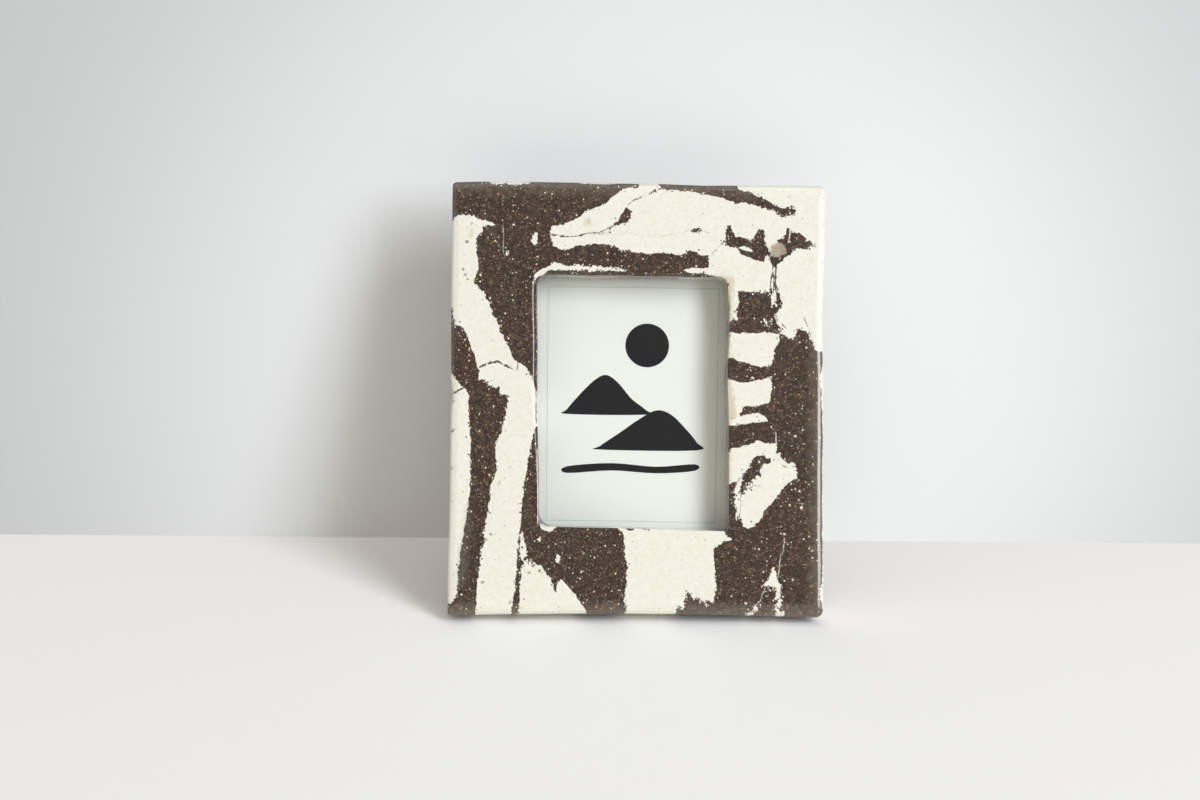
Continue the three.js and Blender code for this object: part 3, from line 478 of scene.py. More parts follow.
def roundedLoop(low, high, radii):
    arcs = []
    ends = [(high[0], low[1]), (high[0], high[1]), (low[0], high[1]), (low[0], low[1])]
    for i, (sideX, sideZ) in enumerate(ends):
        angle = (i - 1 + np.linspace(0, 1, slab["cornerSteps"] + 1)) * math.pi / 2
        centreX = sideX - radii[i] if sideX == high[0] else sideX + radii[i]
        centreZ = sideZ - radii[i] if sideZ == high[1] else sideZ + radii[i]
        arcs.append(np.column_stack([centreX + radii[i] * np.cos(angle), centreZ + radii[i] * np.sin(angle)]))
    loop = []
    for i, steps in enumerate(sideSteps):
        share = np.arange(1, steps)[:, None] / steps
        loop += [arcs[i], arcs[i][-1] * (1 - share) + arcs[(i + 1) % 4][0] * share]
    return np.vstack(loop)


# the slab's outline with an inset and a depth for each side; the foot is arched and slants up to the back
def slabLoop(insets, depths):
    half = slab["width"] / 2
    right, top, left, foot = insets
    radii = [max(radius - (insets[i - 1] + insets[i]) / 2, radius * slab["leastCorner"])
             for i, radius in enumerate(slab["corners"])]
    flat = roundedLoop((left - half, foot + slab["footLift"]), (half - right, slab["height"] - top), radii)
    depth = sideShares() @ np.array(depths)
    arch = slab["footArch"] * (1 - (flat[:, 0] / half) ** 2)
    rise = depth * math.tan(math.radians(slab["footSlant"])) + arch
    return np.column_stack([flat[:, 0], depth, flat[:, 1] + rise * (1 - flat[:, 1] / slab["height"])])


def rebateLoop(depth):
    low = np.array([window["offset"] - window["width"] / 2, window["foot"]]) - slab["lip"]
    high = low + np.array([window["width"], window["height"]]) + 2 * slab["lip"]
    flat = roundedLoop(low, high, [slab["rebateCorner"]] * 4)
    return np.column_stack([flat[:, 0], np.full(len(flat), depth), flat[:, 1]])


# the window as the knife left it, from the wall behind round its sponged edge to the face
def windowLoops():
    low = np.array([window["offset"] - window["width"] / 2, window["foot"]])
    size = np.array([window["width"], window["height"]])
    outlines = []
    for corners in ("throat", "corners"):
        flat = roundedLoop(low, low + size, window[corners])
        across, up = ((flat - low) / size).T
        stray = {side: np.interp(flat[:, axis], *np.array(window[side]).T)
                 for side, axis in (("right", 1), ("head", 0), ("left", 1), ("sill", 0))}
        flat[:, 0] += stray["left"] * (1 - across) + stray["right"] * across
        flat[:, 1] += stray["sill"] * (1 - up) + stray["head"] * up
        outlines.append(flat)
    throat, flat = outlines
    along = np.roll(flat, -1, axis=0) - np.roll(flat, 1, axis=0)
    outward = np.column_stack([along[:, 1], -along[:, 0]]) / np.linalg.norm(along, axis=1)[:, None]
    edges = np.tile([window["edgeRight"], window["edgeHead"], 0.0, window["edgeSill"]], (len(flat), 1))
    edges[:, 2] = np.interp(flat[:, 1], *np.array(window["edgeLeft"]).T)
    rounding = (sideShares() * edges).sum(axis=1)
    loops = [np.column_stack([throat[:, 0], np.full(len(flat), slab["frontWall"]), throat[:, 1]])]
    for turn in np.linspace(0, math.pi / 2, slab["windowRound"]):
        edge = flat + outward * (rounding * (1 - math.cos(turn)))[:, None]
        loops.append(np.column_stack([edge[:, 0], rounding * (1 - math.sin(turn)), edge[:, 1]]))
    return loops


# loops on the way from one loop to another, in a number of steps
def loopsBetween(first, last, steps):
    return [first + (last - first) * share for share in np.linspace(0, 1, steps + 1)[1:-1]]


# all loops of the slab, from its face round the side, the back and the rebate to the window and the face
def slabLoops():
    soft, tight = (smoothOutline(slab[roll], False)[::slab["rollStep"]] for roll in ("softRoll", "tightRoll"))
    loops = [slabLoop([t[0], s[0], t[0], s[0]], [t[1], s[1], t[1], s[1]]) for s, t in zip(soft, tight)]
    back = slab["backEdge"]
    backRound = []
    for turn in np.linspace(0, math.pi / 2, slab["backRound"]):
        depth = slabThickness - back * (1 - math.sin(turn))
        backRound.append(slabLoop([back * (1 - math.cos(turn))] * 4, [depth] * 4))
    loops += loopsBetween(loops[-1], backRound[0], slab["sideSteps"]) + backRound
    rebateMouth, rebateFloor = rebateLoop(slabThickness), rebateLoop(slab["frontWall"])
    throat, *windowRound = windowLoops()
    loops += loopsBetween(loops[-1], rebateMouth, slab["backSteps"]) + [rebateMouth]
    loops += loopsBetween(rebateMouth, rebateFloor, slab["rebateSteps"]) + [rebateFloor]
    loops += loopsBetween(rebateFloor, throat, slab["lipSteps"]) + [throat]
    loops += loopsBetween(throat, windowRound[0], slab["revealSteps"]) + windowRound
    loops += loopsBetween(windowRound[-1], loops[0], slab["faceSteps"])
    return np.array(loops)


# slow waves of a slab that was rolled, cut and smoothed by hand, from -1 to 1
def handWaves(local, waves):
    total = sum(strength * np.sin(local @ (x, y, z) + phase) for x, y, z, phase, strength in waves)
    return total / sum(wave[-1] for wave in waves)


def makeSlabMesh():
    loops = slabLoops()
    stations, count = loops.shape[:2]
    here = np.arange(stations)[:, None] * count
    there = np.roll(np.arange(stations), -1)[:, None] * count
    point = np.arange(count)[None, :]
    after = (point + 1) % count
    quads = np.stack([here + point, there + point, there + after, here + after], axis=-1).reshape(-1, 4)
    mesh = bpy.data.meshes.new("slab")
    mesh.from_pydata(loops.reshape(-1, 3).tolist(), [], quads.tolist())
    mesh.update()
    return mesh


# takes the hand's unevenness off the mesh, trims its sides, and notes on it what the clay is where
def shapeSlab(mesh):
    count = len(mesh.vertices)
    local, normal = np.empty(count * 3), np.empty(count * 3)
    mesh.vertices.foreach_get("co", local)
    mesh.vertices.foreach_get("normal", normal)
    local, normal = local.reshape(-1, 3), normal.reshape(-1, 3)
    fields = clayFields(local)
    face, edge = handWaves(local, slab["faceWaves"]), handWaves(local, slab["edgeWaves"])
    x, y, z = local.T
    half = slab["width"] / 2
    rim = np.minimum(half - np.abs(x), np.minimum(z, slab["height"] - z))
    atRim = np.clip(1 - rim / slab["rimReach"], 0, 1)
    fade = slab["hiddenFade"]
    exposed = np.clip((slab["frontWall"] - y) / fade, 0, 1) + np.clip(1 - rim / fade, 0, 1)
    taken = slab["unevenFace"] * (face - 1) / 2 * (1 - atRim) + slab["unevenEdge"] * (edge - 1) / 2 * atRim
    groove = np.exp(-(fields["crack"] / slab["crackHalfWidth"]) ** 2) * (y < slab["crackTo"])
    taken -= slab["crackDepth"] * groove
    moved = local + normal * (taken * np.clip(exposed, 0, 1))[:, None]
    trims = ((0, "trimRight", z, half - x, -1), (0, "trimLeft", z, half + x, 1),
             (2, "trimTop", x, slab["height"] - z, -1))
    for axis, side, along, gap, direction in trims:
        cut = np.interp(along, *np.array(slab[side]).T)
        moved[:, axis] += direction * cut * np.clip(1 - gap / slab["trimReach"], 0, 1) ** slab["trimFall"]
    for name, values in fields.items():
        mesh.attributes.new(name, "FLOAT", "POINT").data.foreach_set("value", values.astype(np.float32))
    mesh.vertices.foreach_set("co", toWorld(moved).ravel())
    mesh.polygons.foreach_set("use_smooth", np.ones(len(mesh.polygons), bool))
    mesh.update()


# Marbled stoneware: two grogged clays rolled into one slab, fired under a thin clear satin glaze.
# The eye gets ragged clay borders, pale sand in the dark clay, rusty flecks in the cream one, and
# soft white gleams along every rounded edge. Painted into the colour are a grey sheen on the dark clay's rim,
# the shade on the window's right wall, and a shadow line and a highlight at the window's edges.
stoneware = {
    "cream": "#f1efe3", "creamShade": "#e8e3d2", "fleck": "#84664a", "smudge": "#c6b190", "spot": "#6b4526",
    # the film colour is slip and painted sheen on the rim; the wash colour also paints the shade on the
    # window's right wall; the crack colour also draws a painted shadow line by the window
    "smear": "#33271d", "film": "#7f7463", "wash": "#6b6459", "crack": "#3a2413", "pebble": "#c6b6a5",
    "pebbleShade": "#857668", "sand": "#eae0ca", "rust": "#b9905a", "warmTint": "#5b4630",
    "coolTint": "#4a4540", "tintShare": 0.12,
    # tones of the dark clay's grains, by their share
    "darkGrains": [(0.0, "#140b05"), (0.3, "#2b1c11"), (0.6, "#3f2d1e"), (0.8, "#543e2b"), (0.9, "#806850"),
                   (0.96, "#bfae94"), (1.0, "#efe5cf")],
    # size in mm, detail and roughness of each noise; grain finer than 0.3 mm is drawn at 0.3 mm
    "noise": {
        "wander": (2.0, 2.0, 0.5), "teeth": (0.7, 3.0, 0.6), "loose": (11.0, 1.0, 0.5),
        "fine": (0.3, 2.0, 0.6), "mottle": (1.1, 5.0, 0.7), "tint": (12.0, 2.0, 0.5),
        "streak": (1.6, 3.0, 0.6), "satin": (5.0, 3.0, 0.5), "swell": (2.2, 3.0, 0.5)},
    # size in mm of the cells that hold one grain each
    "cells": {"grain": 0.32, "crumb": 0.6, "sand": 0.85, "grit": 1.9, "fleck": 1.1},
    # share of bare cells, and a grain's largest radius as a share of its cell
    "paleGrains": {"sand": (0.6, 0.32), "grit": (0.56, 0.2)}, "sandSoft": 0.1, "rustyFrom": 0.8,
    # the border's teeth and their size where it broke up, and the crumbs of either clay that lie along it
    "looseTeeth": {"From Min": 0.36, "From Max": 0.66, "To Min": 0.5, "To Max": 2.2}, "crumbleTeeth": 1.8,
    "borderSoft": 0.09, "crumbChance": {"From Max": 1.4, "To Min": 0.14, "To Max": 0.0}, "crumbleChance": 2.0,
    "crumbRadius": {"To Min": 0.1, "To Max": 0.5}, "crumbSoft": 0.12,
    # mottle and flecks of the cream clay, and the spread of tones in the dark one
    "mottled": {"From Min": 0.4, "From Max": 0.72}, "fleckNearRim": 0.35,
    "fleckRadius": {"From Min": 0.6, "To Max": 0.22}, "fleckCover": {"From Max": 0.1, "To Max": 0.6},
    "fineTone": 0.5, "grainTone": 0.8, "toneShift": -0.15, "tinted": {"From Min": 0.35, "From Max": 0.65},
    # marks on the slab: the noises that fray each one, where it begins and is full, and how much it covers
    "marks": {
        "smudge": ({"streak": 2.4}, 0.95, 1.95, 0.6), "spot": ({"teeth": 1.4}, -0.1, 0.15, 0.75),
        # the film mark is slip with painted sheen on the rim; the wash mark also lays painted shade on the
        # window's right wall
        "film": ({"streak": 1.2}, 0.62, 1.4, 0.55), "wash": ({"teeth": 3.0}, -0.3, 2.0, 0.7),
        "pebble": ({"wander": 1.6, "teeth": 1.8}, -0.12, 0.12, 0.92), "grain": ({}, -0.06, 0.1, 1.0)},
    # veins and seams: the mottle that breaks them up, their widest part, their fraying, and the rest as above
    "strands": {"vein": (0.0, 1.0, 1.0, 0.7, -0.05, 0.1, 0.8),
                "crack": (0.34, 0.66, 0.6, 0.6, -0.04, 0.08, 0.95)},
    "swellHeight": 2.6, "crackHeight": -1.8, "reliefMm": 0.035, "bodyRelief": 0.6, "skinRelief": 0.15,
    "roughness": (0.44, 0.6), "bodyGloss": 0.12, "glaze": 1.0, "glazeIor": 1.58, "glazeRoughness": 0.11,
}


def marbledStoneware():
    s = stoneware
    material, add = newMaterial("marbled stoneware under satin glaze")
    place = add("TexCoord").outputs["Object"]
    field = {name: add("Attribute", attribute_name=name).outputs["Fac"] for name in (
        "clay", "crumble", "wash", "crack", "crackWidth", "vein", "veinWidth", "spot", "grain", "pebble",
        "smudge", "film")}
    noise = {name: add("TexNoise", {
        "Vector": place, "Scale": 1 / (sizeMm * mm), "Detail": detail, "Roughness": roughness})
        for name, (sizeMm, detail, roughness) in s["noise"].items()}
    # these two go to both sides of nought
    for name in ("teeth", "wander"):
        noise[name] = add("Math", {0: noise[name], 1: 0.5}, operation="SUBTRACT")
    cell = {name: add("TexVoronoi", {"Vector": place, "Scale": 1 / (sizeMm * mm)})
            for name, sizeMm in s["cells"].items()}
    pick = {name: add("SeparateColor", {"Color": node.outputs["Color"]}).outputs
            for name, node in cell.items()}
    share = {}
    for name, (frays, begins, full, cover) in s["marks"].items():
        edge = field[name]
        for rough, gain in frays.items():
            edge = add("Math", {0: noise[rough], 1: gain, 2: edge}, operation="MULTIPLY_ADD")
        share[name] = add("MapRange", {"Value": edge, "From Min": begins, "From Max": full, "To Max": cover})
    for name, (thin, thick, widest, fray, begins, full, cover) in s["strands"].items():
        half = add("MapRange", {
            "Value": noise["mottle"], "From Min": thin, "From Max": thick, "To Max": widest})
        half = add("Math", {0: half, 1: field[name + "Width"]}, operation="MULTIPLY")
        gap = add("Math", {0: noise["teeth"], 1: fray, 2: field[name]}, operation="MULTIPLY_ADD")
        gap = add("Math", {0: gap}, operation="ABSOLUTE")
        edge = add("Math", {0: half, 1: gap}, operation="SUBTRACT")
        share[name] = add("MapRange", {"Value": edge, "From Min": begins, "From Max": full, "To Max": cover})

    # the border between the clays: a slow wander, and teeth that grow where the border broke up
    loose = add("MapRange", {"Value": noise["loose"], **s["looseTeeth"]})
    loose = add("Math", {0: field["crumble"], 1: s["crumbleTeeth"], 2: loose}, operation="MULTIPLY_ADD")
    jag = add("Math", {0: noise["teeth"], 1: loose, 2: field["clay"]}, operation="MULTIPLY_ADD")
    border = add("Math", {0: jag, 1: noise["wander"]}, operation="ADD")
    soft = s["borderSoft"]
    creamShare = add("MapRange", {
        "Value": border, "From Min": -soft, "From Max": soft}, interpolation_type="SMOOTHSTEP")

    # loose crumbs of either clay on both sides of the border
    borderGap = add("Math", {0: border}, operation="ABSOLUTE")
    chance = add("MapRange", {"Value": borderGap, **s["crumbChance"]})
    chanceMore = add("Math", {0: field["crumble"], 1: s["crumbleChance"], 2: 1.0}, operation="MULTIPLY_ADD")
    crumbless = add("Math", {0: chance, 1: chanceMore}, operation="MULTIPLY")
    crumbless = add("Math", {0: 1.0, 1: crumbless}, operation="SUBTRACT")
    crumbSize = add("MapRange", {"Value": pick["crumb"][0], "From Min": crumbless, **s["crumbRadius"]})
    crumbSize = add("Math", {0: crumbSize, 1: cell["crumb"]}, operation="SUBTRACT")
    crumbThere = add("Math", {0: pick["crumb"][0], 1: crumbless}, operation="GREATER_THAN")
    crumb = add("MapRange", {"Value": crumbSize, "From Max": s["crumbSoft"]}, interpolation_type="SMOOTHSTEP")
    crumb = add("Math", {0: crumb, 1: crumbThere}, operation="MULTIPLY")
    creamShare = add("Math", {0: creamShare, 1: crumb}, operation="SUBTRACT")
    creamShare = add("Math", {0: creamShare}, operation="ABSOLUTE")
    # pale veins in the dark clay, and a painted highlight along the window's lower left edge
    creamShare = add("Math", {0: creamShare, 1: share["vein"]}, operation="MAXIMUM")

    # cream clay: faint mottle, rusty flecks and spots, tan drag marks beside the window
    mottle = add("MapRange", {"Value": noise["mottle"], **s["mottled"]})
    cream = add("Mix", {0: mottle, 6: s["cream"], 7: s["creamShade"]}, data_type="RGBA")
    fleck = add("Math", {
        0: field["film"], 1: s["fleckNearRim"], 2: pick["fleck"][0]}, operation="MULTIPLY_ADD")
    fleck = add("MapRange", {"Value": fleck, **s["fleckRadius"]})
    fleck = add("Math", {0: fleck, 1: cell["fleck"]}, operation="SUBTRACT")
    share["fleck"] = add("MapRange", {"Value": fleck, **s["fleckCover"]})
    for name in ("fleck", "spot", "smudge"):
        cream = add("Mix", {0: share[name], 6: cream, 7: s[name]}, data_type="RGBA")

    # dark clay: grains of every tone packed close, a film of slip with painted sheen at the rim, bright sand
    # here and there
    tone = add("Math", {0: noise["fine"], 1: s["fineTone"], 2: s["toneShift"]}, operation="MULTIPLY_ADD")
    tone = add("Math", {0: pick["grain"][0], 1: s["grainTone"], 2: tone}, operation="MULTIPLY_ADD")
    grains = add("ValToRGB", {"Fac": tone})
    ramp = grains.color_ramp.elements
    for portion, _ in s["darkGrains"][1:-1]:
        ramp.new(portion)
    for element, (_, shade) in zip(ramp, s["darkGrains"]):
        element.color = hexColour(shade)
    tint = add("MapRange", {"Value": noise["tint"], **s["tinted"]})
    tint = add("Mix", {0: tint, 6: s["warmTint"], 7: s["coolTint"]}, data_type="RGBA")
    dark = add("Mix", {0: s["tintShare"], 6: grains, 7: tint}, data_type="RGBA")
    dark = add("Mix", {0: share["film"], 6: dark, 7: s["film"]}, data_type="RGBA")
    for name, (bare, radius) in s["paleGrains"].items():
        size = add("MapRange", {"Value": pick[name][0], "From Min": bare, "To Max": radius})
        size = add("Math", {0: size, 1: cell[name]}, operation="SUBTRACT")
        size = add("MapRange", {"Value": size, "From Max": s["sandSoft"]}, interpolation_type="SMOOTHSTEP")
        rusty = add("Math", {0: pick[name][1], 1: s["rustyFrom"]}, operation="GREATER_THAN")
        sand = add("Mix", {0: rusty, 6: s["sand"], 7: s["rust"]}, data_type="RGBA")
        dark = add("Mix", {0: size, 6: dark, 7: sand}, data_type="RGBA")
    for name, colour in (("smudge", "smear"), ("grain", "sand")):
        dark = add("Mix", {0: share[name], 6: dark, 7: s[colour]}, data_type="RGBA")

    # washes of slip with the painted shade on the window's right wall, the grey pebble and the brown seams,
    # one of them a painted shadow line, lie over both clays
    colour = add("Mix", {0: creamShare, 6: dark, 7: cream}, data_type="RGBA")
    pebble = add("Mix", {0: noise["mottle"], 6: s["pebble"], 7: s["pebbleShade"]}, data_type="RGBA")
    for name, tone in (("wash", s["wash"]), ("pebble", pebble), ("crack", s["crack"])):
        colour = add("Mix", {0: share[name], 6: colour, 7: tone}, data_type="RGBA")

    # grainy under the glaze, smoother on it
    relief = add("Math", {0: noise["swell"], 1: s["swellHeight"], 2: noise["fine"]}, operation="MULTIPLY_ADD")
    relief = add("Math", {0: share["crack"], 1: s["crackHeight"], 2: relief}, operation="MULTIPLY_ADD")
    body, skin = (add("Bump", {"Height": relief, "Strength": s[layer], "Distance": s["reliefMm"] * mm})
                  for layer in ("bodyRelief", "skinRelief"))
    smooth, matt = s["roughness"]
    satin = add("MapRange", {"Value": noise["satin"], "To Min": smooth, "To Max": matt})
    add("OutputMaterial", {"Surface": add("BsdfPrincipled", {
        "Base Color": colour, "Roughness": satin, "Normal": body, "Specular IOR Level": s["bodyGloss"],
        "Coat Weight": s["glaze"], "Coat Roughness": s["glazeRoughness"], "Coat IOR": s["glazeIor"],
        "Coat Normal": skin})})
    return material


slabMesh = makeSlabMesh()
shapeSlab(slabMesh)
newPiece("marbled_slab", slabMesh, marbledStoneware(), "frame", "marbled_stoneware", "frame_body")
print("stoneware slab:", len(slabMesh.polygons), "faces")


# Picture glass: float glass with polished faces, clear enough to see only by its gleam
glass = {"tint": "#feffff", "ior": 1.46, "roughness": 0.03}


def pictureGlass():
    material, add = newMaterial("float picture glass")
    inner = add("NewGeometry").outputs["Backfacing"]
    outer = add("Math", {0: 1.0, 1: inner}, operation="SUBTRACT")
    gleam = add("Fresnel", {"IOR": glass["ior"]})
    gleam = add("Math", {0: gleam, 1: outer}, operation="MULTIPLY")
    clear = add("BsdfTransparent", {"Color": glass["tint"]})
    gloss = add("BsdfGlossy", {"Roughness": glass["roughness"]})
    add("OutputMaterial", {"Surface": add("MixShader", {0: gleam, 1: clear, 2: gloss})})
    return material


# Photo paper: smooth and coated, a cool white with faint fibre
photoPaper = {"tones": ("#f5f5ee", "#f0f1ea"), "cloudMm": 0.5, "detail": 3.0, "surface": {"Roughness": 0.55}}
# Printing ink: dense, a little shinier than the paper
blackInk = {"cloudMm": 0.5, "detail": 2.0, "roughness": (0.4, 0.6),
            "surface": {"Base Color": "#131113", "Specular IOR Level": 0.2}}
greyInk = {**blackInk, "surface": {"Base Color": "#d3d8d2", "Specular IOR Level": 0.2}}
# Zinc plated steel: pale bluish grey, softly bright, with a faint cloudy passivation
zinc = {"tones": ("#c3c7ca", "#a9aeb4"), "cloudMm": 2.5, "detail": 5.0, "roughness": (0.24, 0.44),
        "surface": {"Metallic": 1.0}}
# Rolled brass sheet: warm yellow metal with a fine rolling grain and dull patches from handling
brass = {"tones": ("#d8b46a", "#b18a48"), "cloudMm": 4.0, "detail": 4.0, "roughness": (0.24, 0.46),
         "surface": {"Metallic": 1.0}, "grainMm": 0.15, "grainDrawn": (1.0, 0.08, 0.08), "grainDetail": 2.0,
         "grainDepthMm": 0.02, "grainRelief": 0.25}
# Moulded nylon: milky white, slightly waxy
nylon = {"tones": ("#ece8db", "#e0dac8"), "cloudMm": 1.5, "detail": 2.0,
         "surface": {"Roughness": 0.4, "Subsurface Weight": 0.15, "Subsurface Radius": (mm, mm, 0.8 * mm)}}


# a finish whose tone or gloss drifts in soft clouds; a rolled one has a drawn grain too
def cloudedFinish(name, look):
    material, add = newMaterial(name)
    place = add("TexCoord").outputs["Object"]
    cloud = add("TexNoise", {"Vector": place, "Scale": 1 / (look["cloudMm"] * mm), "Detail": look["detail"]})
    surface = dict(look["surface"])
    if "tones" in look:
        tone, shade = look["tones"]
        surface["Base Color"] = add("Mix", {0: cloud, 6: tone, 7: shade}, data_type="RGBA")
    if "roughness" in look:
        bright, dull = look["roughness"]
        surface["Roughness"] = add("MapRange", {"Value": cloud, "To Min": bright, "To Max": dull})
    if "grainMm" in look:
        drawn = add("VectorMath", {0: place, 1: look["grainDrawn"]}, operation="MULTIPLY")
        grain = add("TexNoise", {
            "Vector": drawn, "Scale": 1 / (look["grainMm"] * mm), "Detail": look["grainDetail"]})
        surface["Normal"] = add("Bump", {
            "Height": grain, "Strength": look["grainRelief"], "Distance": look["grainDepthMm"] * mm})
    add("OutputMaterial", {"Surface": add("BsdfPrincipled", surface)})
    return material


def dress(nodeName, material):
    mesh = nodes[nodeName].data
    mesh.materials.clear()
    mesh.materials.append(material)


# a generic picture of a sun over hills, in mm on the card, and a thin line round it
picture = {
    "sun": {"centre": (2.6, 66.4), "radius": 5.4, "points": 48},
    "farHill": [(-17, 50.5), (-13.5, 54.6), (-10.2, 57.8), (-7.4, 59), (-4.4, 57), (-1.2, 53.2), (2.2, 50.6),
                (2.2, 49.3), (-17, 49.3)],
    "nearHill": [(-8.8, 41.5), (-4, 44.8), (0.8, 48.2), (5, 50.4), (8.6, 49.4), (12, 46.2), (15, 42.6),
                 (15, 40.6), (-8.8, 40.6)],
    "shore": [(-17, 36.4), (-6, 37.3), (5, 36.5), (14.6, 37.2), (14.6, 35.6), (5, 34.9), (-6, 35.5),
              (-17, 34.8)],
    "line": [(19.8, 22.8), (20.4, 80.8), (-22, 80.8), (-22, 23.1)],
    "lineWidth": 0.2, "inkThickness": 0.02, "inkGap": 0.01,
}
cardPoints = np.array([v.co for v in nodes["picture_card"].data.vertices]) @ leanTurn / mm
cardFront = cardPoints[:, 1].min() - slabFront


# a film of ink that stands just proud of the card: an outer loop of points, and a hole in it or none
def inkFilm(name, outer, hole, material):
    front = cardFront - picture["inkGap"] - picture["inkThickness"]
    mesh = bpy.data.meshes.new(name)
    build = bmesh.new()
    rings = [[build.verts.new((x, front, z)) for x, z in ring] for ring in (outer, hole) if ring is not None]
    if len(rings) == 2:
        after = [ring[1:] + ring[:1] for ring in rings]
        faces = [build.faces.new(corners) for corners in zip(rings[0], after[0], after[1], rings[1])]
    else:
        faces = [build.faces.new(rings[0])]
    grown = bmesh.ops.extrude_face_region(build, geom=faces)
    bmesh.ops.translate(build, vec=(0, picture["inkThickness"], 0),
                        verts=[e for e in grown["geom"] if isinstance(e, bmesh.types.BMVert)])
    bmesh.ops.recalc_face_normals(build, faces=build.faces)
    build.to_mesh(mesh)
    build.free()
    points = np.array([v.co for v in mesh.vertices])
    mesh.vertices.foreach_set("co", toWorld(points).ravel())
    mesh.update()
    newPiece(name, mesh, material, "frame", "picture_paper")


def printCard():
    black = cloudedFinish("black printing ink", blackInk)
    sun = picture["sun"]
    turns = np.linspace(0, 2 * math.pi, sun["points"], endpoint=False)
    disc = np.column_stack([np.cos(turns), np.sin(turns)]) * sun["radius"] + sun["centre"]
    inkFilm("printed_sun", disc, None, black)
    for name in ("farHill", "nearHill", "shore"):
        inkFilm("printed_" + name, smoothOutline(picture[name]), None, black)
    line = np.array(picture["line"])
    inward = np.array([(-1, 1), (-1, -1), (1, -1), (1, 1)])
    grey = cloudedFinish("grey printing ink", greyInk)
    inkFilm("printed_line", line, line + picture["lineWidth"] * inward, grey)


dress("clear_pane", pictureGlass())
dress("picture_card", cloudedFinish("smooth photo paper", photoPaper))
printCard()
print("pane and picture card dressed")


# Fibreboard faced with black embossed paper: soft black faces with a leather grain, brown fibre on the edges
board = {"paper": "#211f1f", "paperWorn": "#2e2b2a", "fibre": "#8a6a48", "fibreDark": "#6d5238",
         "embossMm": 0.55, "wornMm": 9.0, "wornDetail": 6.0, "fibreMm": 0.3, "fibreDetail": 4.0,
         "fibreTangle": 0.7, "reliefMm": 0.06, "relief": 0.4,
         "faceFrom": 0.55, "faceFull": 0.75, "fibreRoughness": 0.9, "paperRoughness": 0.55}


def facedBoard(nodeName):
    face = max(nodes[nodeName].data.polygons, key=lambda polygon: polygon.area).normal
    material, add = newMaterial("paper faced fibreboard of " + nodeName)
    place = add("TexCoord").outputs
    across = add("VectorMath", {0: place["Normal"], 1: tuple(face)}, operation="DOT_PRODUCT")
    across = add("Math", {0: across.outputs["Value"]}, operation="ABSOLUTE")
    onFace = add("MapRange", {"Value": across, "From Min": board["faceFrom"], "From Max": board["faceFull"]})
    emboss = add("TexVoronoi", {"Vector": place["Object"], "Scale": 1 / (board["embossMm"] * mm)})
    worn = add("TexNoise", {
        "Vector": place["Object"], "Scale": 1 / (board["wornMm"] * mm), "Detail": board["wornDetail"]})
    fibre = add("TexNoise", {
        "Vector": place["Object"], "Scale": 1 / (board["fibreMm"] * mm), "Detail": board["fibreDetail"],
        "Roughness": board["fibreTangle"]})
    paper = add("Mix", {0: worn, 6: board["paper"], 7: board["paperWorn"]}, data_type="RGBA")
    edge = add("Mix", {0: fibre, 6: board["fibreDark"], 7: board["fibre"]}, data_type="RGBA")
    tone = add("Mix", {0: onFace, 6: edge, 7: paper}, data_type="RGBA")
    relief = add("Mix", {0: onFace, 2: fibre, 3: emboss})
    bump = add("Bump", {"Height": relief, "Strength": board["relief"], "Distance": board["reliefMm"] * mm})
    dull = add("MapRange", {
        "Value": onFace, "To Min": board["fibreRoughness"], "To Max": board["paperRoughness"]})
    add("OutputMaterial", {"Surface": add("BsdfPrincipled", {
        "Base Color": tone, "Roughness": dull, "Normal": bump})})
    return material


# eases the sharp edges of a piece from the frame, and shades its round sides smooth and its flat ones level;
# angles in degrees
easing = {"joinMm": 0.002, "flatWithin": 1, "sharpFrom": 40, "segments": 2, "levelWeight": 100}


def easeEdges(nodeName, widthMm):
    piece = nodes[nodeName]
    joined = piece.modifiers.new("joined corners", "WELD")
    joined.merge_threshold = easing["joinMm"] * mm
    flat = piece.modifiers.new("flat faces", "DECIMATE")
    flat.decimate_type = "DISSOLVE"
    flat.angle_limit = math.radians(easing["flatWithin"])
    ease = piece.modifiers.new("eased edges", "BEVEL")
    ease.width = widthMm * mm
    ease.segments = easing["segments"]
    ease.limit_method = "ANGLE"
    ease.angle_limit = math.radians(easing["sharpFrom"])
    level = piece.modifiers.new("level faces", "WEIGHTED_NORMAL")
    level.mode = "FACE_AREA"
    level.weight = easing["levelWeight"]
    piece.data.polygons.foreach_set("use_smooth", np.ones(len(piece.data.polygons), bool))


# the finish of each kind of piece at the back, and how far its edges are eased in mm
steel = cloudedFinish("zinc plated steel", zinc)
sheet = cloudedFinish("rolled brass sheet", brass)
plug = cloudedFinish("moulded nylon", nylon)
backPieces = {
    "turn_button": (steel, 0.25), "button_screw": (steel, 0.15), "hinge_pin": (steel, 0.15),
    "screw_plug": (plug, 0.15), "hinge_fixed_leaf": (sheet, 0.15), "hinge_moving_leaf": (sheet, 0.15),
    "board_rivet": (sheet, 0.2), "strut_rivet": (sheet, 0.2),
    "back_board": (facedBoard("back_board"), 0.25), "easel_strut": (facedBoard("easel_strut"), 0.25),
}
for nodeName in nodes:
    for start, (finish, easeMm) in backPieces.items():
        if nodeName.startswith(start):
            dress(nodeName, finish)
            easeEdges(nodeName, easeMm)
print("back pieces dressed")


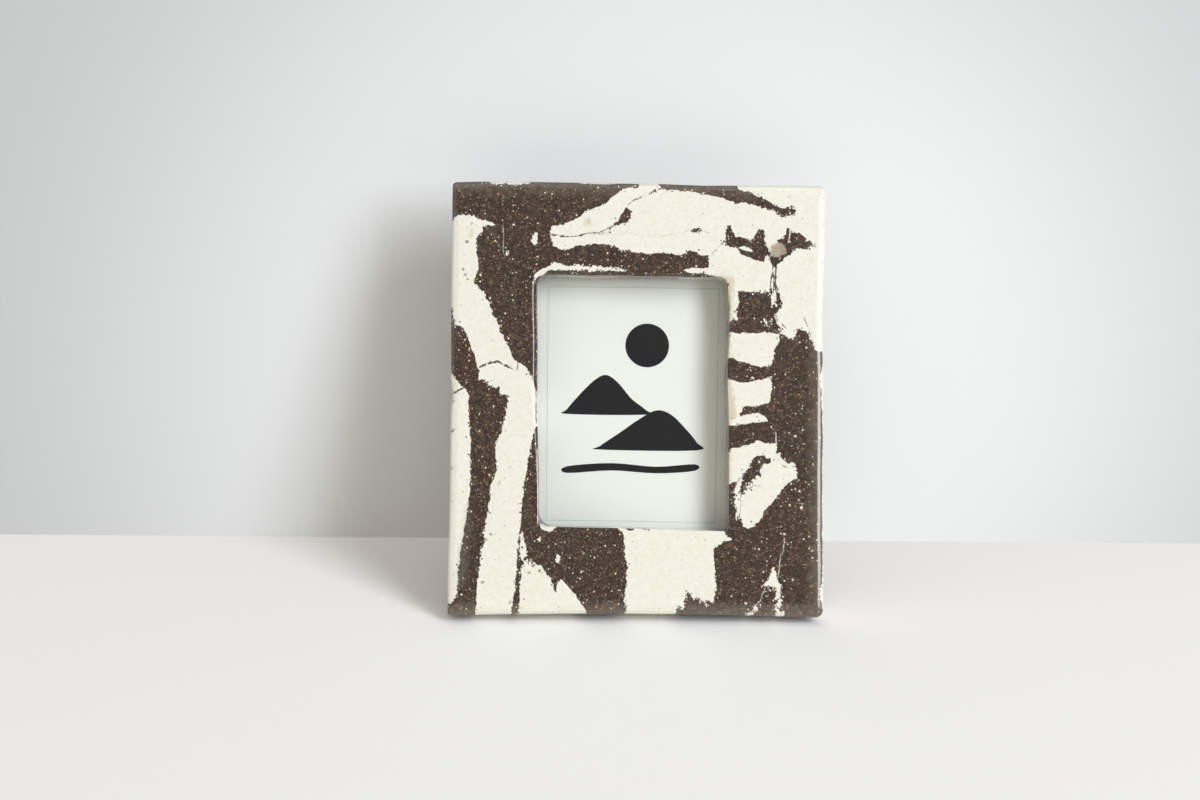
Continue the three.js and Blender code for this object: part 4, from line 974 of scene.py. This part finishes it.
# the white room that the photo was taken in, in m; lamps as place, width, height and power
stage = {
    "reach": 0.7, "floor": "#fdfeff", "floorBounce": "#efece4",
    # the wall's paint greys off with distance from its middle: painted falloff of the light
    "wall": "#f3f6f8", "wallShadeFar": "#cbced0", "wallBehind": 0.0307, "wallMiddle": (0.01, 0.04),
    "wallShadeSpan": (0.05, 0.2),
    # the sky as light, dim at the horizon and brighter overhead, and as a pale backdrop that fades upwards
    "sky": "#fff3e4", "skyLow": 0.28, "skyHigh": 0.44,
    "skySeen": "#eceeee", "skySeenLow": 1.0, "skySeenHigh": 0.4, "skySeenFade": (0.05, 0.18),
    "lampColour": "#f2f7fd", "lampAim": (0, 0, 0.05),
    "lamps": {
        "window light": ((1.48, -1.6, 1.24), 0.85, 1.95, 53.5),
        "ceiling light": ((0, -0.15, 1.15), 1.0, 0.8, 1.4),
        "left wall bounce": ((-1.1, -0.5, 0.5), 1.0, 0.8, 1.9),
    },
}


# a flat board of the room, and the function that adds nodes to its paint
def plainBoard(name, corners):
    mesh = bpy.data.meshes.new(name)
    mesh.from_pydata(corners, [], [tuple(range(len(corners)))])
    material, add = newMaterial(name + " paint")
    mesh.materials.append(material)
    panel = bpy.data.objects.new(name, mesh)
    bpy.context.scene.collection.objects.link(panel)
    return panel, add


# 1 for what the camera sees straight, in a gloss or through glass, and 0 for light
def seenRays(add):
    ray = add("LightPath").outputs
    seen = ray["Is Camera Ray"]
    for kind in ("Is Glossy Ray", "Is Transmission Ray"):
        seen = add("Math", {0: seen, 1: ray[kind]}, operation="MAXIMUM")
    return seen


# the pale floor is for the eye and for reflections; less of it bounces up as light
reach = stage["reach"]
corners = [(-reach, -reach, 0), (reach, -reach, 0), (reach, reach, 0), (-reach, reach, 0)]
add = plainBoard("floor", corners)[1]
tone = add("Mix", {0: seenRays(add), 6: stage["floorBounce"], 7: stage["floor"]}, data_type="RGBA")
add("OutputMaterial", {"Surface": add("BsdfDiffuse", {"Color": tone})})

# the wall shows only from its front, and neither lights the object nor shows in it
wallY = stage["wallBehind"]
wall, add = plainBoard("wall", [
    (-reach, wallY, 0), (reach, wallY, 0), (reach, wallY, 2 * reach), (-reach, wallY, 2 * reach)])
for ray in ("diffuse", "glossy", "transmission", "shadow"):
    setattr(wall, "visible_" + ray, False)
wallPlace = add("NewGeometry").outputs
wallX, wallZ = stage["wallMiddle"]
# painted falloff of the light: the paint darkens away from the middle
away = add("VectorMath", {0: wallPlace["Position"], 1: (wallX, wallY, wallZ)}, operation="DISTANCE")
near, far = stage["wallShadeSpan"]
away = add("MapRange", {
    "Value": away.outputs["Value"], "From Min": near, "From Max": far}, interpolation_type="SMOOTHSTEP")
tone = add("Mix", {0: away, 6: stage["wall"], 7: stage["wallShadeFar"]}, data_type="RGBA")
paint = add("BsdfDiffuse", {"Color": tone})
add("OutputMaterial", {"Surface": add("MixShader", {
    0: wallPlace["Backfacing"], 1: paint, 2: add("BsdfTransparent")})})

world = bpy.data.worlds.new("white room")
bpy.context.scene.world = world
world.use_nodes = True
world.node_tree.nodes.clear()
add = functools.partial(addNode, world.node_tree)
up = add("SeparateXYZ", {0: add("TexCoord").outputs["Generated"]}).outputs["Z"]
glow = add("MapRange", {"Value": up, "To Min": stage["skyLow"], "To Max": stage["skyHigh"]})
begins, ends = stage["skySeenFade"]
backdrop = add("MapRange", {
    "Value": up, "From Min": begins, "From Max": ends,
    "To Min": stage["skySeenLow"], "To Max": stage["skySeenHigh"]})
seen = seenRays(add)
level = add("Mix", {0: seen, 2: glow, 3: backdrop})
tone = add("Mix", {0: seen, 6: stage["sky"], 7: stage["skySeen"]}, data_type="RGBA")
add("OutputWorld", {"Surface": add("Background", {"Color": tone, "Strength": level})})

for name, (place, width, height, power) in stage["lamps"].items():
    lamp = bpy.data.lights.new(name, "AREA")
    lamp.shape = "RECTANGLE"
    lamp.size = width
    lamp.size_y = height
    lamp.energy = power
    lamp.color = hexColour(stage["lampColour"])[:3]
    holder = bpy.data.objects.new(name, lamp)
    holder.location = place
    holder.rotation_euler = (Vector(stage["lampAim"]) - Vector(place)).to_track_quat("-Z", "Y").to_euler()
    bpy.context.scene.collection.objects.link(holder)

# the camera of the photo: lens and film width in mm, place and nearest view in m, angles in degrees
camera = {"lens": 50, "film": 36, "nearest": 0.01, "place": (-0.0236, -0.3977, 0.1635),
          "yaw": -2.13, "pitch": 16.11, "roll": 1.2}
lens = bpy.data.cameras.new("camera")
lens.lens = camera["lens"]
lens.sensor_width = camera["film"]
lens.clip_start = camera["nearest"]
viewer = bpy.data.objects.new("camera", lens)
yaw, pitch, roll = (math.radians(camera[angle]) for angle in ("yaw", "pitch", "roll"))
turn = Matrix.Rotation(yaw, 4, "Z") @ Matrix.Rotation(math.pi / 2 - pitch, 4, "X")
turn = turn @ Matrix.Rotation(roll, 4, "Z")
viewer.matrix_world = Matrix.Translation(camera["place"]) @ turn
bpy.context.scene.collection.objects.link(viewer)
bpy.context.scene.camera = viewer
bpy.context.scene.view_settings.view_transform = "Standard"
print("stage set")
